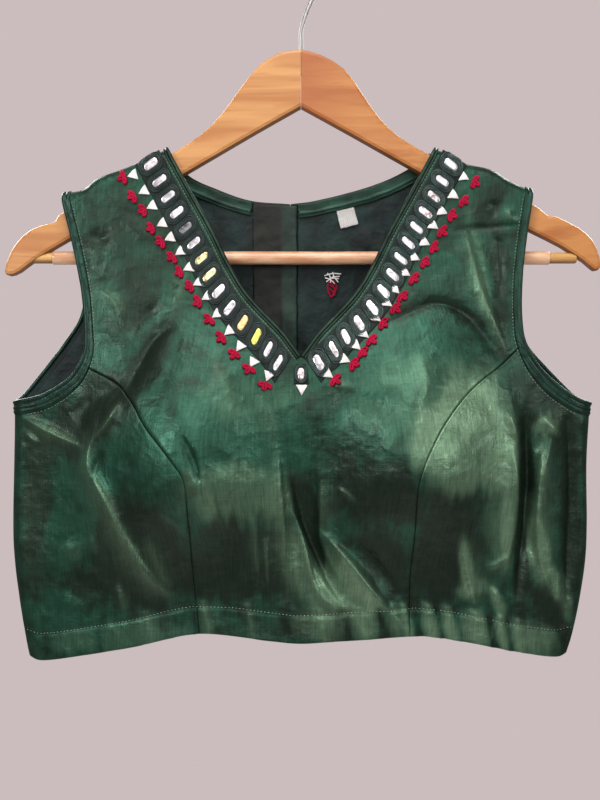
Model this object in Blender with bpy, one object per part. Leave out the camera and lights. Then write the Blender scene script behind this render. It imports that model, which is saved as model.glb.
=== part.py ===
"""A sleeveless choli blouse hanging on a wooden hanger.

The front is three pieces joined by princess seams over padded cups, the back is two lined pieces that
meet at a lapped closing, and mirror work follows the V neck. The hanger has two arms, a trouser bar
with a clear sleeve, and a steel hook.

Sizes in the tables are millimetres. +X is to the viewer's right, the front faces -Y, +Z is up, and the
origin is the point of the hook that hangs on the rail. Left and right are as seen from the front.
"""

from collections import namedtuple
from math import cos, exp, hypot, pi, radians, sin, sqrt

import bmesh
import bpy
import numpy as np
from mathutils import Vector

MM = 0.001
SIDES = {"left": -1, "right": 1}

# ------------------------------------------------------------------ cloth thickness and gaps
GAP = 0.3
WALL = 1.3
LINING_WALL = 1.0
STRIP_WALL = 1.0
STRIP_LIFT = 0.5
TURN_LIFT = 0.45
HEM_WALL = 1.8
HEM_TURN = 20.0

# ------------------------------------------------------------------ how far the cloth stands off
SIDE_RADIUS = 8.0
SHOULDER_RADIUS = 8.0
SIDE_POWER = 2.2
STEEP = 1000.0
SLOPE_STEP = 0.25

Depth = namedtuple("Depth", "z mid edge")
FRONT_DEPTH = [
    Depth(-150, 10.0, 10.0),
    Depth(-200, 12.5, 10.0),
    Depth(-240, 15.0, 10.0),
    Depth(-274, 19.0, 9.0),
    Depth(-307, 24.0, 8.0),
    Depth(-340, 25.0, 6.5),
    Depth(-390, 21.0, 6.5),
    Depth(-430, 23.0, 6.5),
    Depth(-470, 27.0, 6.0),
    Depth(-532, 30.5, 5.0),
]
BACK_DEPTH = [
    Depth(-150, 10.2, 10.2),
    Depth(-190, 12.2, 10.2),
    Depth(-240, 13.2, 9.5),
    Depth(-340, 14.0, 6.5),
    Depth(-430, 15.0, 6.5),
    Depth(-532, 16.0, 5.0),
]

Cup = namedtuple("Cup", "x z depth half_width above below")
CUPS = [
    Cup(-84, -393, 38, 60, 78, 52),
    Cup(84, -391, 38, 60, 78, 52),
]

# A soft ridge (rise above 0) or trough (below 0) along a straight run, which keeps its full rise
# to FOLD_REACH of its length either way from its middle and then fades.
FOLD_REACH = 0.4
FOLD_FADE = 0.14
Fold = namedtuple("Fold", "x0 z0 x1 z1 half_width rise")
FRONT_FOLDS = [
    Fold(0, -398, 32, -484, 8, -3.0),
    Fold(18, -436, 60, -486, 7, 2.6),
    Fold(-102, -278, -138, -338, 9, -2.4),
    Fold(-153, -386, -104, -474, 8, 2.4),
    Fold(-138, -345, -188, -470, 13, 2.4),
    Fold(-30, -434, -14, -494, 7, 2.2),
    Fold(184, -352, 176, -410, 8, 2.4),
    Fold(171, -412, 190, -486, 8, 2.4),
    Fold(163, -362, 170, -455, 8, -2.6),
    Fold(120, -226, 133, -285, 10, 1.8),
]
BACK_FOLDS = [
    Fold(-150, -250, -95, -420, 14, 2.4),
    Fold(140, -255, 100, -400, 14, 2.2),
    Fold(-84, -300, -74, -500, 12, -2.2),
    Fold(55, -330, 70, -505, 12, 2.2),
    Fold(160, -370, 150, -500, 13, 2.4),
    Fold(-165, -380, -150, -505, 13, -2.0),
]

# ------------------------------------------------------------------ the cut edges, in the X-Z plane
Point = namedtuple("Point", "x z")
NECK_FRONT = [
    Point(99.5, -152),
    Point(82, -184.5),
    Point(65.6, -214),
    Point(51.9, -241.5),
    Point(38, -263.5),
    Point(14.5, -288.7),
    Point(6.5, -299),
    Point(0, -308),
]
NECK_BACK = {
    "left": [
        Point(-8, -191.7),
        Point(-38.6, -189),
        Point(-65, -180),
        Point(-85.4, -170),
        Point(-99.5, -152),
    ],
    "right": [
        Point(-8, -191.7),
        Point(14.4, -188.5),
        Point(52.2, -178.5),
        Point(78.6, -167),
        Point(99.5, -152),
    ],
}
SHOULDER = {
    "left": [
        Point(-99.5, -152),
        Point(-112.5, -158.5),
        Point(-127.4, -165.2),
        Point(-149.7, -173.4),
        Point(-160.9, -181.6),
        Point(-175.8, -185.6),
    ],
    "right": [
        Point(99.5, -152),
        Point(114.7, -158.5),
        Point(124.4, -163.6),
        Point(140.8, -167.4),
        Point(155.7, -176.3),
        Point(170.4, -182.5),
    ],
}
ARMHOLE_FRONT = {
    "left": [
        Point(-175.8, -185.6),
        Point(-174.4, -195),
        Point(-167.1, -225),
        Point(-160.4, -258),
        Point(-157.3, -290),
        Point(-158.6, -306),
        Point(-168.2, -322),
        Point(-185.6, -333.2),
        Point(-197.2, -337.3),
        Point(-213, -340),
    ],
    "right": [
        Point(170.4, -182.5),
        Point(169.3, -192),
        Point(164.8, -221),
        Point(161.2, -254),
        Point(161.2, -283),
        Point(164.5, -298.3),
        Point(173.9, -313.7),
        Point(188.4, -327.7),
        Point(204.9, -338),
        Point(215, -341),
    ],
}
ARMHOLE_BACK = {
    "left": [
        Point(-175.8, -185.6),
        Point(-168, -215),
        Point(-162, -246),
        Point(-165, -274),
        Point(-174.8, -292),
        Point(-192.3, -316),
        Point(-205, -332),
        Point(-213, -340),
    ],
    "right": [
        Point(170.4, -182.5),
        Point(166, -210),
        Point(162, -246),
        Point(164, -280),
        Point(170.3, -298),
        Point(185.7, -316),
        Point(203, -334),
        Point(215, -341),
    ],
}
SIDE_SEAM = {
    "left": [
        Point(-213, -340),
        Point(-213.2, -370),
        Point(-214.2, -430),
        Point(-213, -458),
        Point(-209.3, -488),
        Point(-204.5, -517),
        Point(-202, -529),
    ],
    "right": [
        Point(215, -341),
        Point(212.5, -385),
        Point(212.8, -430),
        Point(211.6, -458),
        Point(207.1, -488),
        Point(202, -512),
        Point(197.5, -527),
    ],
}
PRINCESS_SEAM = {
    "left": [
        Point(-161.5, -313.2),
        Point(-145.7, -320.2),
        Point(-131.2, -328.6),
        Point(-120, -342),
        Point(-109.8, -358.6),
        Point(-89.8, -382.6),
        Point(-81.4, -397),
        Point(-79.1, -429.7),
        Point(-77.5, -465),
        Point(-73.8, -507.6),
    ],
    "right": [
        Point(163.9, -296.9),
        Point(144.3, -314.6),
        Point(129.8, -325),
        Point(113.7, -340.2),
        Point(97.7, -361.3),
        Point(86.1, -384),
        Point(81.3, -404),
        Point(80.7, -437),
        Point(78.5, -465),
        Point(78.7, -509.4),
    ],
}
HEM_FRONT = [
    Point(-202, -529),
    Point(-190, -531),
    Point(-161, -526),
    Point(-123, -518.5),
    Point(-73.8, -507.6),
    Point(-22, -512.2),
    Point(0, -513.9),
    Point(35, -512.2),
    Point(78.7, -509.4),
    Point(99, -511),
    Point(128.5, -516.4),
    Point(159, -523.6),
    Point(187, -528.5),
    Point(197.5, -527),
]
HEM_BACK = [
    Point(-202, -529),
    Point(-160, -525),
    Point(-90, -521),
    Point(-8, -519.5),
    Point(80, -520),
    Point(150, -524),
    Point(197.5, -527),
]
BACK_OPENING_X = -8.0

# ------------------------------------------------------------------ mesh steps
PANEL_STEP = 12.5
BACK_STEP = 17.5
STRIP_STEP = 9.5
PLACKET_STEP = 11.0
PLACKET_ROWS = 20
ROW_CLEARANCE = 0.4
CENTRE_HALF_WIDTH = 82.0
CENTRE_LENGTH = 340.0
SIDE_PANEL_WIDTH = 118.0
BACK_WIDTH = 205.0
BACK_LENGTH = 335.0
EDGE_STEPS = (0.0, 1.1, 4.0, 8.0)
NECK_TURN = (0.0, 3.0, 7.0)

# ------------------------------------------------------------------ trims
NECK_BINDING_WIDTH = 3.4
BAND_WIDTH_AT_SHOULDER = 4.5
BAND_WIDTH_AT_UNDERARM = 9.5
UNDERARM_SLANT = {"front": 1.1, "back": 1.5}
SHOULDER_SLANT = 1.1
TURN_ANGLES = (0, 25, 50, 75, 90)
# Across a strip: part of its width, and how thick it is there.
Profile = namedtuple("Profile", "part thick")
STRIP_PROFILE = [Profile(-0.04, 0.35), Profile(0.3, 1.0), Profile(1.0, 0.55)]
NECK_BINDING_END = 2.6
FACING_WIDTH = 10.5
FACING_PARTS = (0.06, 0.5, 1.0)
FACING_END = 9.0
PLACKET_TOP_DROP = 0.8
PLACKET_HEM_RISE = 2.0
PLACKET_FREE_EDGE_X = -36.0
PLACKET_SEAM_EDGE_X = -3.3
LINING_RIGHT_EDGE_X = -2.7
LABEL_SIZE = 13.5
LABEL_CENTRE = Point(33.0, -203.8)
LABEL_TURN = radians(14)
LABEL_WALL = 0.6

# ------------------------------------------------------------------ mirror work along the V
MIRRORS_A_SIDE = 14
MIRROR_PITCH = 12.9
MIRROR_LONG = 14.0
MIRROR_WIDE = 6.3
MIRROR_WALL = 1.0
FIRST_MIRROR_DROP = 5.5
MIRROR_FROM_EDGE = 16.0
BAND_INNER = 5.8
BAND_OUTER = 26.2
FRAME_RISE = 1.5
FRAME_TO_MIRROR = 0.35
FRAME_CREST = 0.75
FRAME_BASE = 0.7
FRAME_LIFT = 0.45
TOP_MIRROR_LIFT = 1.0
TILT_AT_SHOULDER = radians(7)
TILT_AT_POINT = radians(21)
CENTRE_MIRROR_LONG = 11.5
CENTRE_MIRROR_DROP = 12.0
CENTRE_FRAME_ABOVE = 7.0
CENTRE_FRAME_BELOW = 7.4
CENTRE_FRAME_TOP_HALF = 3.6
CENTRE_FRAME_LOW_HALF = 5.4
OVAL_SIDES = 10

# ------------------------------------------------------------------ hanger
ARM_HALF_THICK = 5.6
ARM_ROUND = 2.6
ARM_JOINT_GAP = 0.3
ARM_OUTLINE = {
    "left": [
        Point(0, -78.7),
        Point(-15.5, -81),
        Point(-30.3, -89.8),
        Point(-42.8, -104.6),
        Point(-58.4, -126),
        Point(-74.6, -142.3),
        Point(-96.8, -156.3),
        Point(-114, -164.2),
        Point(-142, -179),
        Point(-163, -193),
        Point(-175, -199),
        Point(-179.8, -202),
        Point(-182.4, -206.6),
        Point(-187, -207.6),
        Point(-200.2, -212.4),
        Point(-210, -221),
        Point(-216.5, -232),
        Point(-219.8, -243),
        Point(-216, -246.4),
        Point(-208, -243.4),
        Point(-195.7, -234.2),
        Point(-169.1, -218.4),
        Point(-112, -186.5),
        Point(-37.7, -143),
        Point(0, -121.6),
    ],
    "right": [
        Point(0, -78.7),
        Point(14, -82.4),
        Point(32.5, -93.5),
        Point(47.3, -114.2),
        Point(58.4, -129.7),
        Point(73.1, -143.8),
        Point(94.5, -156.3),
        Point(114, -164.6),
        Point(142, -176),
        Point(163, -188.5),
        Point(176.5, -196.4),
        Point(183.2, -202),
        Point(189, -202.6),
        Point(206, -211),
        Point(216, -220),
        Point(221, -231),
        Point(222, -240),
        Point(217.5, -242.6),
        Point(210, -236.5),
        Point(192.8, -225),
        Point(166.9, -212),
        Point(112, -184),
        Point(36.2, -141.5),
        Point(0, -121.6),
    ],
}
BAR_Z = -233.0
BAR_RADIUS = 4.1
BAR_END_X = 205.0
SLEEVE_RADIUS = 4.9
SLEEVE_END_X = 184.5
ROUND_SIDES = 12
BAR_BORE_LENGTH = 60.0
SHANK_BORE_LENGTH = 40.0

WIRE_RADIUS = 1.5
HOOK_RADIUS = 18.5
HOOK_JOIN_ANGLE = radians(-35)
HOOK_END_ANGLE = radians(200)
HOOK_LEAVE = 26.0
HOOK_ARRIVE = 30.0
HOOK_BEND_STEPS = 7
HOOK_ARC_STEPS = 16
SHANK_BOTTOM_Z = -97.0
SHANK_STRAIGHT_Z = -66.0
WIRE_SIDES = 8

# ------------------------------------------------------------------ colours
Finish = namedtuple("Finish", "colour roughness metallic")
FINISHES = {
    "satin": Finish((0.035, 0.115, 0.080), 0.42, 0.35),
    "lining": Finish((0.012, 0.035, 0.038), 0.60, 0.0),
    "thread": Finish((0.015, 0.035, 0.028), 0.65, 0.0),
    "mirror": Finish((0.80, 0.80, 0.80), 0.08, 1.0),
    "label": Finish((0.80, 0.78, 0.77), 0.70, 0.0),
    "wood": Finish((0.66, 0.35, 0.15), 0.45, 0.0),
    "sleeve": Finish((0.78, 0.55, 0.42), 0.30, 0.0),
    "steel": Finish((0.62, 0.62, 0.62), 0.25, 1.0),
}


# ================================================================== curves and smooth tables
def smooth(values, per_span=12):
    """Catmull-Rom through rows of numbers, as a dense array."""
    rows = np.array(values, dtype=float)
    padded = np.vstack([2 * rows[0] - rows[1], rows, 2 * rows[-1] - rows[-2]])
    out = [rows[0]]
    for i in range(1, len(padded) - 2):
        p0, p1, p2, p3 = padded[i - 1 : i + 3]
        for step in range(1, per_span + 1):
            u = step / per_span
            squared = (2 * p0 - 5 * p1 + 4 * p2 - p3) * u**2
            cubed = (3 * p1 - p0 - 3 * p2 + p3) * u**3
            out.append(0.5 * (2 * p1 + (p2 - p0) * u + squared + cubed))
    return np.array(out)


class Edge:
    """A smooth line through points of the X-Z plane, read by arc length or by height."""

    def __init__(self, points, dense=None):
        self.line = smooth(points) if dense is None else dense
        steps = np.hypot(*np.diff(self.line, axis=0).T)
        self.run = np.concatenate([[0.0], np.cumsum(steps)])
        self.length = float(self.run[-1])

    def at(self, run):
        return Point(*(float(np.interp(run, self.run, self.line[:, k])) for k in (0, 1)))

    def at_part(self, part):
        return self.at(part * self.length)

    def x_at(self, z):
        order = np.argsort(self.line[:, 1])
        return float(np.interp(z, self.line[order, 1], self.line[order, 0]))

    def run_at(self, z):
        order = np.argsort(self.line[:, 1])
        return float(np.interp(z, self.line[order, 1], self.run[order]))

    def z_at(self, x):
        order = np.argsort(self.line[:, 0])
        return float(np.interp(x, self.line[order, 0], self.line[order, 1]))

    def direction(self, run, reach=4.0):
        a = self.at(max(run - reach, 0.0))
        b = self.at(min(run + reach, self.length))
        size = hypot(b.x - a.x, b.z - a.z)
        return Point((b.x - a.x) / size, (b.z - a.z) / size)

    def moved(self, distance):
        """The same line, moved square to itself: to +X where it runs down."""
        way = np.gradient(self.line, axis=0)
        way /= np.hypot(way[:, 0], way[:, 1])[:, None]
        return Edge(None, self.line + distance * np.stack([-way[:, 1], way[:, 0]], axis=1))

    def then(self, other):
        return Edge(None, np.vstack([self.line, other.line[1:]]))

    def between(self, z_top, z_low):
        keep = (self.line[:, 1] < z_top) & (self.line[:, 1] > z_low)
        ends = [[self.x_at(z_top), z_top]], [[self.x_at(z_low), z_low]]
        return Edge(None, np.vstack([ends[0], self.line[keep], ends[1]]))


def depth_table(rows):
    """The middle and edge depths as a function of height."""
    dense = smooth([(row.z, row.mid, row.edge) for row in rows])[::-1]
    return lambda z: [float(np.interp(z, dense[:, 0], dense[:, k])) for k in (1, 2)]


def quarter(part):
    """Height of a quarter circle: 0 at its foot, 1 from part 1 on."""
    if part >= 1:
        return 1.0
    return sqrt(max(0.0, 1 - (1 - max(part, 0.0)) ** 2))


def ease(part):
    part = min(max(part, 0.0), 1.0)
    return part * part * (3 - 2 * part)


def lerp(a, b, part):
    return a + (b - a) * part


EDGES = {
    "neck": {name: Edge([(sign * p.x, p.z) for p in NECK_FRONT]) for name, sign in SIDES.items()},
    "neck_back": {name: Edge(NECK_BACK[name]) for name in SIDES},
    "shoulder": {name: Edge(SHOULDER[name]) for name in SIDES},
    "armhole": {name: Edge(ARMHOLE_FRONT[name]) for name in SIDES},
    "armhole_back": {name: Edge(ARMHOLE_BACK[name]) for name in SIDES},
    "side": {name: Edge(SIDE_SEAM[name]) for name in SIDES},
    "princess": {name: Edge(PRINCESS_SEAM[name]) for name in SIDES},
}
HEM = {"front": Edge(HEM_FRONT), "back": Edge(HEM_BACK)}
FRONT_TABLE = depth_table(FRONT_DEPTH)
BACK_TABLE = depth_table(BACK_DEPTH)


# ================================================================== the cloth surface
def side_name(x):
    return "left" if x < 0 else "right"


def side_distance(x, z):
    """How far inside the side seam a point is; the seam runs straight up above the underarm."""
    seam = EDGES["side"][side_name(x)]
    return abs(seam.x_at(z)) - abs(x)


def shoulder_drop(x, z):
    """How far below the shoulder line a point is; inside the neck the line runs on at its first slope."""
    name = side_name(x)
    line = EDGES["shoulder"][name]
    neck = line.at(0)
    if abs(x) >= abs(neck.x):
        return line.z_at(x) - z
    slope = line.direction(0)
    return neck.z + (abs(neck.x) - abs(x)) * abs(slope.z / slope.x) - z


def fold_rise(folds, x, z):
    rise = 0.0
    for fold in folds:
        run_x, run_z = fold.x1 - fold.x0, fold.z1 - fold.z0
        length = hypot(run_x, run_z)
        along = ((x - fold.x0) * run_x + (z - fold.z0) * run_z) / length**2
        off = ((x - fold.x0) * run_z - (z - fold.z0) * run_x) / length
        fade = exp(-((max(abs(along - 0.5) - FOLD_REACH, 0.0) / FOLD_FADE) ** 2))
        rise += fold.rise * exp(-((off / fold.half_width) ** 2)) * fade
    return rise


def stand_off(face, x, z):
    """Distance of the cloth's outer face from the side-seam plane."""
    mid, edge = (FRONT_TABLE if face == "front" else BACK_TABLE)(z)
    half_width = abs(EDGES["side"][side_name(x)].x_at(z))
    depth = edge + (mid - edge) * (1 - min(abs(x) / half_width, 1) ** SIDE_POWER)
    if face == "front":
        for cup in CUPS:
            reach = cup.above if z > cup.z else cup.below
            depth += cup.depth * exp(-(((x - cup.x) / cup.half_width) ** 2) - ((z - cup.z) / reach) ** 2)
    depth += fold_rise(FRONT_FOLDS if face == "front" else BACK_FOLDS, x, z)
    depth *= quarter(side_distance(x, z) / SIDE_RADIUS)
    return depth * quarter(shoulder_drop(x, z) / SHOULDER_RADIUS)


def cloth_point(face, x, z, inward=0.0):
    """A point of the cloth, moved inward from its outer face along the face's normal."""
    out = -1 if face == "front" else 1
    step = SLOPE_STEP
    sx = x - np.sign(x) * step if side_distance(x, z) < step else x
    sz = z - step if shoulder_drop(x, z) < step else z
    slope_x = (stand_off(face, sx + step, sz) - stand_off(face, sx - step, sz)) / (2 * step)
    slope_z = (stand_off(face, sx, sz + step) - stand_off(face, sx, sz - step)) / (2 * step)
    if side_distance(x, z) < step:
        slope_x = -np.sign(x) * STEEP
    if shoulder_drop(x, z) < step:
        slope_z = -STEEP
    normal = Vector((-slope_x, out, -slope_z)).normalized()
    point = Vector((x, out * stand_off(face, x, z), z)) - normal * inward
    point.y = out * max(out * point.y, GAP / 2)
    return point


# ================================================================== mesh helpers
def material(name):
    found = bpy.data.materials.get(name)
    if found:
        return found
    finish = FINISHES[name]
    made = bpy.data.materials.new(name)
    made.use_nodes = True
    shader = made.node_tree.nodes["Principled BSDF"]
    shader.inputs["Base Color"].default_value = (*finish.colour, 1.0)
    shader.inputs["Roughness"].default_value = finish.roughness
    shader.inputs["Metallic"].default_value = finish.metallic
    made.diffuse_color = (*finish.colour, 1.0)
    return made


def add_object(name, mesh, finish):
    mesh.materials.append(material(finish))
    made = bpy.data.objects.new(name, mesh)
    bpy.context.scene.collection.objects.link(made)
    return made


def mesh_object(name, points, faces, finish):
    """One closed body from points in millimetres, with its faces turned outward."""
    mesh = bpy.data.meshes.new(name)
    mesh.from_pydata([[c * MM for c in p] for p in points], [], faces)
    work = bmesh.new()
    work.from_mesh(mesh)
    bmesh.ops.recalc_face_normals(work, faces=work.faces)
    work.to_mesh(mesh)
    work.free()
    mesh.shade_smooth()
    mesh.set_sharp_from_angle(angle=radians(40))
    return add_object(name, mesh, finish)


def wall_from_grid(name, outer, inner, finish):
    """A closed wall between two grids of points that have the same rows and columns."""
    rows, cols = len(outer), len(outer[0])
    points = [p for row in outer for p in row] + [p for row in inner for p in row]
    back = rows * cols
    faces = []
    for r in range(rows - 1):
        for c in range(cols - 1):
            a, b = r * cols + c, r * cols + c + 1
            d, e = a + cols, b + cols
            faces += [(a, b, e, d), (back + a, back + d, back + e, back + b)]
    rim = [c for c in range(cols)]
    rim += [r * cols + cols - 1 for r in range(1, rows)]
    rim += [(rows - 1) * cols + c for c in range(cols - 2, -1, -1)]
    rim += [r * cols for r in range(rows - 2, 0, -1)]
    for a, b in zip(rim, rim[1:] + rim[:1]):
        faces.append((b, a, back + a, back + b))
    return mesh_object(name, points, faces, finish)


def spaced(start, end, step):
    count = max(1, round(abs(end - start) / step))
    return [lerp(start, end, i / count) for i in range(count + 1)]


def panel_rows(knots, length, step):
    """Row parts from 0 to 1: close together under the rounded top, and one at each knot."""
    start = [d / length for d in EDGE_STEPS]
    marks = [start[-1], *[k for k in sorted(knots) if k > start[-1] + 0.01], 1.0]
    rows = start[:-1]
    for a, b in zip(marks, marks[1:]):
        rows += spaced(a, b, step / length)[:-1]
    return rows + [1.0]


class Panel:
    """A cut piece between an inner and an outer edge, from its top edge to its hem."""

    def __init__(self, face, inner, outer, top, hem, fade=(0.35, 0.6)):
        self.face = face
        self.inner, self.outer, self.top, self.hem = inner, outer, top, hem
        self.fade = fade

    def plan(self, s, t):
        """The X-Z place of a part-way point: s from the inner edge to the outer, t from top to hem."""
        a, b = self.inner(t), self.outer(t)
        top_a, top_b = self.inner(0), self.outer(0)
        hem_a, hem_b = self.inner(1), self.outer(1)
        top, hem = self.top(s), self.hem(s)
        keep_top = 1 - ease(t / self.fade[0])
        keep_hem = ease((t - self.fade[1]) / (1 - self.fade[1]))
        place = []
        for k in (0, 1):
            off_top = keep_top * (top[k] - lerp(top_a[k], top_b[k], s))
            off_hem = keep_hem * (hem[k] - lerp(hem_a[k], hem_b[k], s))
            place.append(lerp(a[k], b[k], s) + off_top + off_hem)
        return Point(*place)

    def wall(self, t):
        """Thickness at a row: thicker where the hem is turned up."""
        return HEM_WALL if t > 1 - HEM_TURN / (self.inner(0).z - self.inner(1).z) else WALL

    def grid(self, columns, rows, inward):
        """Rows of points at one depth in the cloth; inward is a number or a function of the row."""
        grid = []
        for t in rows:
            depth = inward(t) if callable(inward) else inward
            grid.append([cloth_point(self.face, *self.plan(s, t), depth) for s in columns])
        return grid


# ================================================================== front pieces
def by_height(edge, z_top, z_low):
    """An edge as a function of t, read by height."""
    return lambda t: Point(edge.x_at(lerp(z_top, z_low, t)), lerp(z_top, z_low, t))


def front_centre_half(name):
    """Half of the front centre: neck edge and centre line inside, armhole and princess seam outside."""
    sign = SIDES[name]
    neck = EDGES["neck"][name]
    hem_z = HEM["front"].z_at(0)
    centre = Edge(None, np.array([[0.0, neck.at_part(1).z], [0.0, hem_z]]))
    inner = neck.then(centre)
    seam = EDGES["princess"][name].moved(-sign * GAP / 2)
    start = seam.at(0)
    armhole = EDGES["armhole"][name].between(EDGES["armhole"][name].at(0).z, start.z)
    outer = armhole.then(seam)
    low = seam.at_part(1)
    shoulder = EDGES["shoulder"][name]
    hem = HEM["front"]
    panel = Panel(
        "front",
        by_height(inner, neck.at(0).z, hem_z),
        by_height(outer, armhole.at(0).z, low.z),
        shoulder.at_part,
        lambda s: Point(lerp(0.0, low.x, s), hem.z_at(lerp(0.0, low.x, s))),
        fade=(0.18, 0.8),
    )
    corner = (start.z - armhole.at(0).z) / (low.z - armhole.at(0).z)
    point = (neck.at_part(1).z - neck.at(0).z) / (hem_z - neck.at(0).z)
    return panel, corner, point


def front_centre_parts():
    """Column parts and row parts of each half; the halves share their rows below the V."""
    halves = {name: front_centre_half(name) for name in SIDES}
    columns = spaced(0, 1, PANEL_STEP / CENTRE_HALF_WIDTH)
    _, _, point = halves["left"]
    below = spaced(point, 1.0, PANEL_STEP / CENTRE_LENGTH)
    rows = {}
    for name in SIDES:
        _, corner, _ = halves[name]
        knots = [corner] if corner < point - 0.01 else []
        above = panel_rows(knots, CENTRE_LENGTH, PANEL_STEP)
        rows[name] = [t for t in above if t < point - ROW_CLEARANCE * PANEL_STEP / CENTRE_LENGTH] + below
    return halves, columns, rows, len(below)


def front_centre():
    """One piece, cut on the fold: two half grids that share the centre line below the V."""
    halves, columns, rows, shared = front_centre_parts()
    points, faces, first, counts = [], [], {}, {}
    for name in SIDES:
        panel = halves[name][0]
        outer = panel.grid(columns, rows[name], 0.0)
        inner = panel.grid(columns, rows[name], panel.wall)
        first[name] = len(points)
        counts[name] = len(rows[name])
        points += [p for row in outer for p in row] + [p for row in inner for p in row]
    cols = len(columns)

    def index(name, layer, r, c):
        """The halves' shared centre line is read from the left half."""
        if c == 0 and name == "right" and r >= counts["right"] - shared:
            name, r = "left", r - counts["right"] + counts["left"]
        return first[name] + layer * counts[name] * cols + r * cols + c

    for name in SIDES:
        last = counts[name] - 1
        for layer in (0, 1):
            for r in range(last):
                for c in range(cols - 1):
                    quad = [
                        index(name, layer, r, c),
                        index(name, layer, r, c + 1),
                        index(name, layer, r + 1, c + 1),
                        index(name, layer, r + 1, c),
                    ]
                    faces.append(quad if (layer == 0) == (name == "right") else quad[::-1])
        rim = [(r, 0) for r in range(counts[name] - shared, -1, -1)]
        rim += [(0, c) for c in range(1, cols)]
        rim += [(r, cols - 1) for r in range(1, last + 1)]
        rim += [(last, c) for c in range(cols - 2, -1, -1)]
        for a, b in zip(rim, rim[1:]):
            faces.append([index(name, 0, *b), index(name, 0, *a), index(name, 1, *a), index(name, 1, *b)])
    used = sorted({i for face in faces for i in face})
    renumber = {old: new for new, old in enumerate(used)}
    made_points = [points[i] for i in used]
    made_faces = [[renumber[i] for i in face] for face in faces]
    return mesh_object("front_centre", made_points, made_faces, "satin")


def front_side_panel(name):
    sign = SIDES[name]
    seam = EDGES["princess"][name].moved(sign * GAP / 2)
    side = EDGES["side"][name]
    start, low = seam.at(0), seam.at_part(1)
    armhole = EDGES["armhole"][name]
    first = armhole.run_at(start.z)
    hem = HEM["front"]
    corner = side.at_part(1)
    return Panel(
        "front",
        by_height(seam, start.z, low.z),
        by_height(side, side.at(0).z, corner.z),
        lambda s: armhole.at(lerp(first, armhole.length, s)),
        lambda s: Point(lerp(low.x, corner.x, s), hem.z_at(lerp(low.x, corner.x, s))),
        fade=(0.5, 0.7),
    )


def side_columns(width, step):
    """Column parts that come close together where the cloth turns round the side seam."""
    inner = spaced(0.0, 1 - EDGE_STEPS[-1] / width, step / width)
    return inner + [1 - d / width for d in EDGE_STEPS[-2::-1]]


def front_side(name, seam_heights):
    panel = front_side_panel(name)
    z_top, z_low = panel.inner(0).z, panel.inner(1).z
    rows = [(z_top - z) / (z_top - z_low) for z in seam_heights]
    columns = side_columns(SIDE_PANEL_WIDTH, PANEL_STEP)
    outer = panel.grid(columns, rows, 0.0)
    inner = panel.grid(columns, rows, panel.wall)
    return wall_from_grid(f"front_side_{name}", outer, inner, "satin")


def seam_heights(name):
    """Heights of the front centre's points along its princess seam, from the armhole to the hem."""
    halves, _, rows, _ = front_centre_parts()
    panel, corner, _ = halves[name]
    clear = ROW_CLEARANCE * PANEL_STEP / CENTRE_LENGTH
    heights = [panel.outer(t).z for t in rows[name] if t > corner + clear]
    return [panel.outer(corner).z] + heights


# ================================================================== back pieces
def back_panel(name):
    sign = SIDES[name]
    opening_x = BACK_OPENING_X + sign * GAP / 2
    neck, shoulder = EDGES["neck_back"][name], EDGES["shoulder"][name]
    top = neck.then(shoulder)
    armhole, side = EDGES["armhole_back"][name], EDGES["side"][name]
    outer = armhole.then(side)
    hem_z = HEM["back"].z_at(opening_x)
    start, low = outer.at(0), outer.at_part(1)
    hem = HEM["back"]

    def top_edge(s):
        place = top.at_part(s)
        return Point(place.x if s > 0 else opening_x, place.z)

    panel = Panel(
        "back",
        lambda t: Point(opening_x, lerp(neck.at(0).z, hem_z, t)),
        by_height(outer, start.z, low.z),
        top_edge,
        lambda s: Point(lerp(opening_x, low.x, s), hem.z_at(lerp(opening_x, low.x, s))),
        fade=(0.5, 0.7),
    )
    corner = (side.at(0).z - start.z) / (low.z - start.z)
    return panel, neck.length / top.length, corner


def back_parts(name):
    """Column parts, with one at the neck point, and row parts, with one at the underarm."""
    panel, neck_part, corner = back_panel(name)
    step = BACK_STEP / BACK_WIDTH
    columns = spaced(0.0, neck_part - NECK_TURN[-1] / BACK_WIDTH, step)
    columns += [neck_part - d / BACK_WIDTH for d in NECK_TURN[-2::-1]]
    columns += spaced(neck_part, 1 - EDGE_STEPS[-1] / BACK_WIDTH, step)[1:]
    columns += [1 - d / BACK_WIDTH for d in EDGE_STEPS[-2::-1]]
    rows = panel_rows([corner], BACK_LENGTH, BACK_STEP)
    return panel, columns, rows


def back_outer(name):
    panel, columns, rows = back_parts(name)
    outer = panel.grid(columns, rows, 0.0)
    inner = panel.grid(columns, rows, panel.wall)
    return wall_from_grid(f"back_{name}", outer, inner, "satin")


def back_lining(name):
    """The lining keeps the back's own points, moved inward, and stops short of its edges."""
    panel, columns, rows = back_parts(name)
    columns, rows = columns[:-3], rows[3:-1]
    if name == "right":
        columns[0] = (LINING_RIGHT_EDGE_X - BACK_OPENING_X) / BACK_WIDTH
    near = HEM_WALL + GAP
    outer = panel.grid(columns, rows, near)
    inner = panel.grid(columns, rows, near + LINING_WALL)
    return wall_from_grid(f"back_lining_{name}", outer, inner, "lining")


INNER_LAYER = HEM_WALL + GAP + LINING_WALL + GAP


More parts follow.
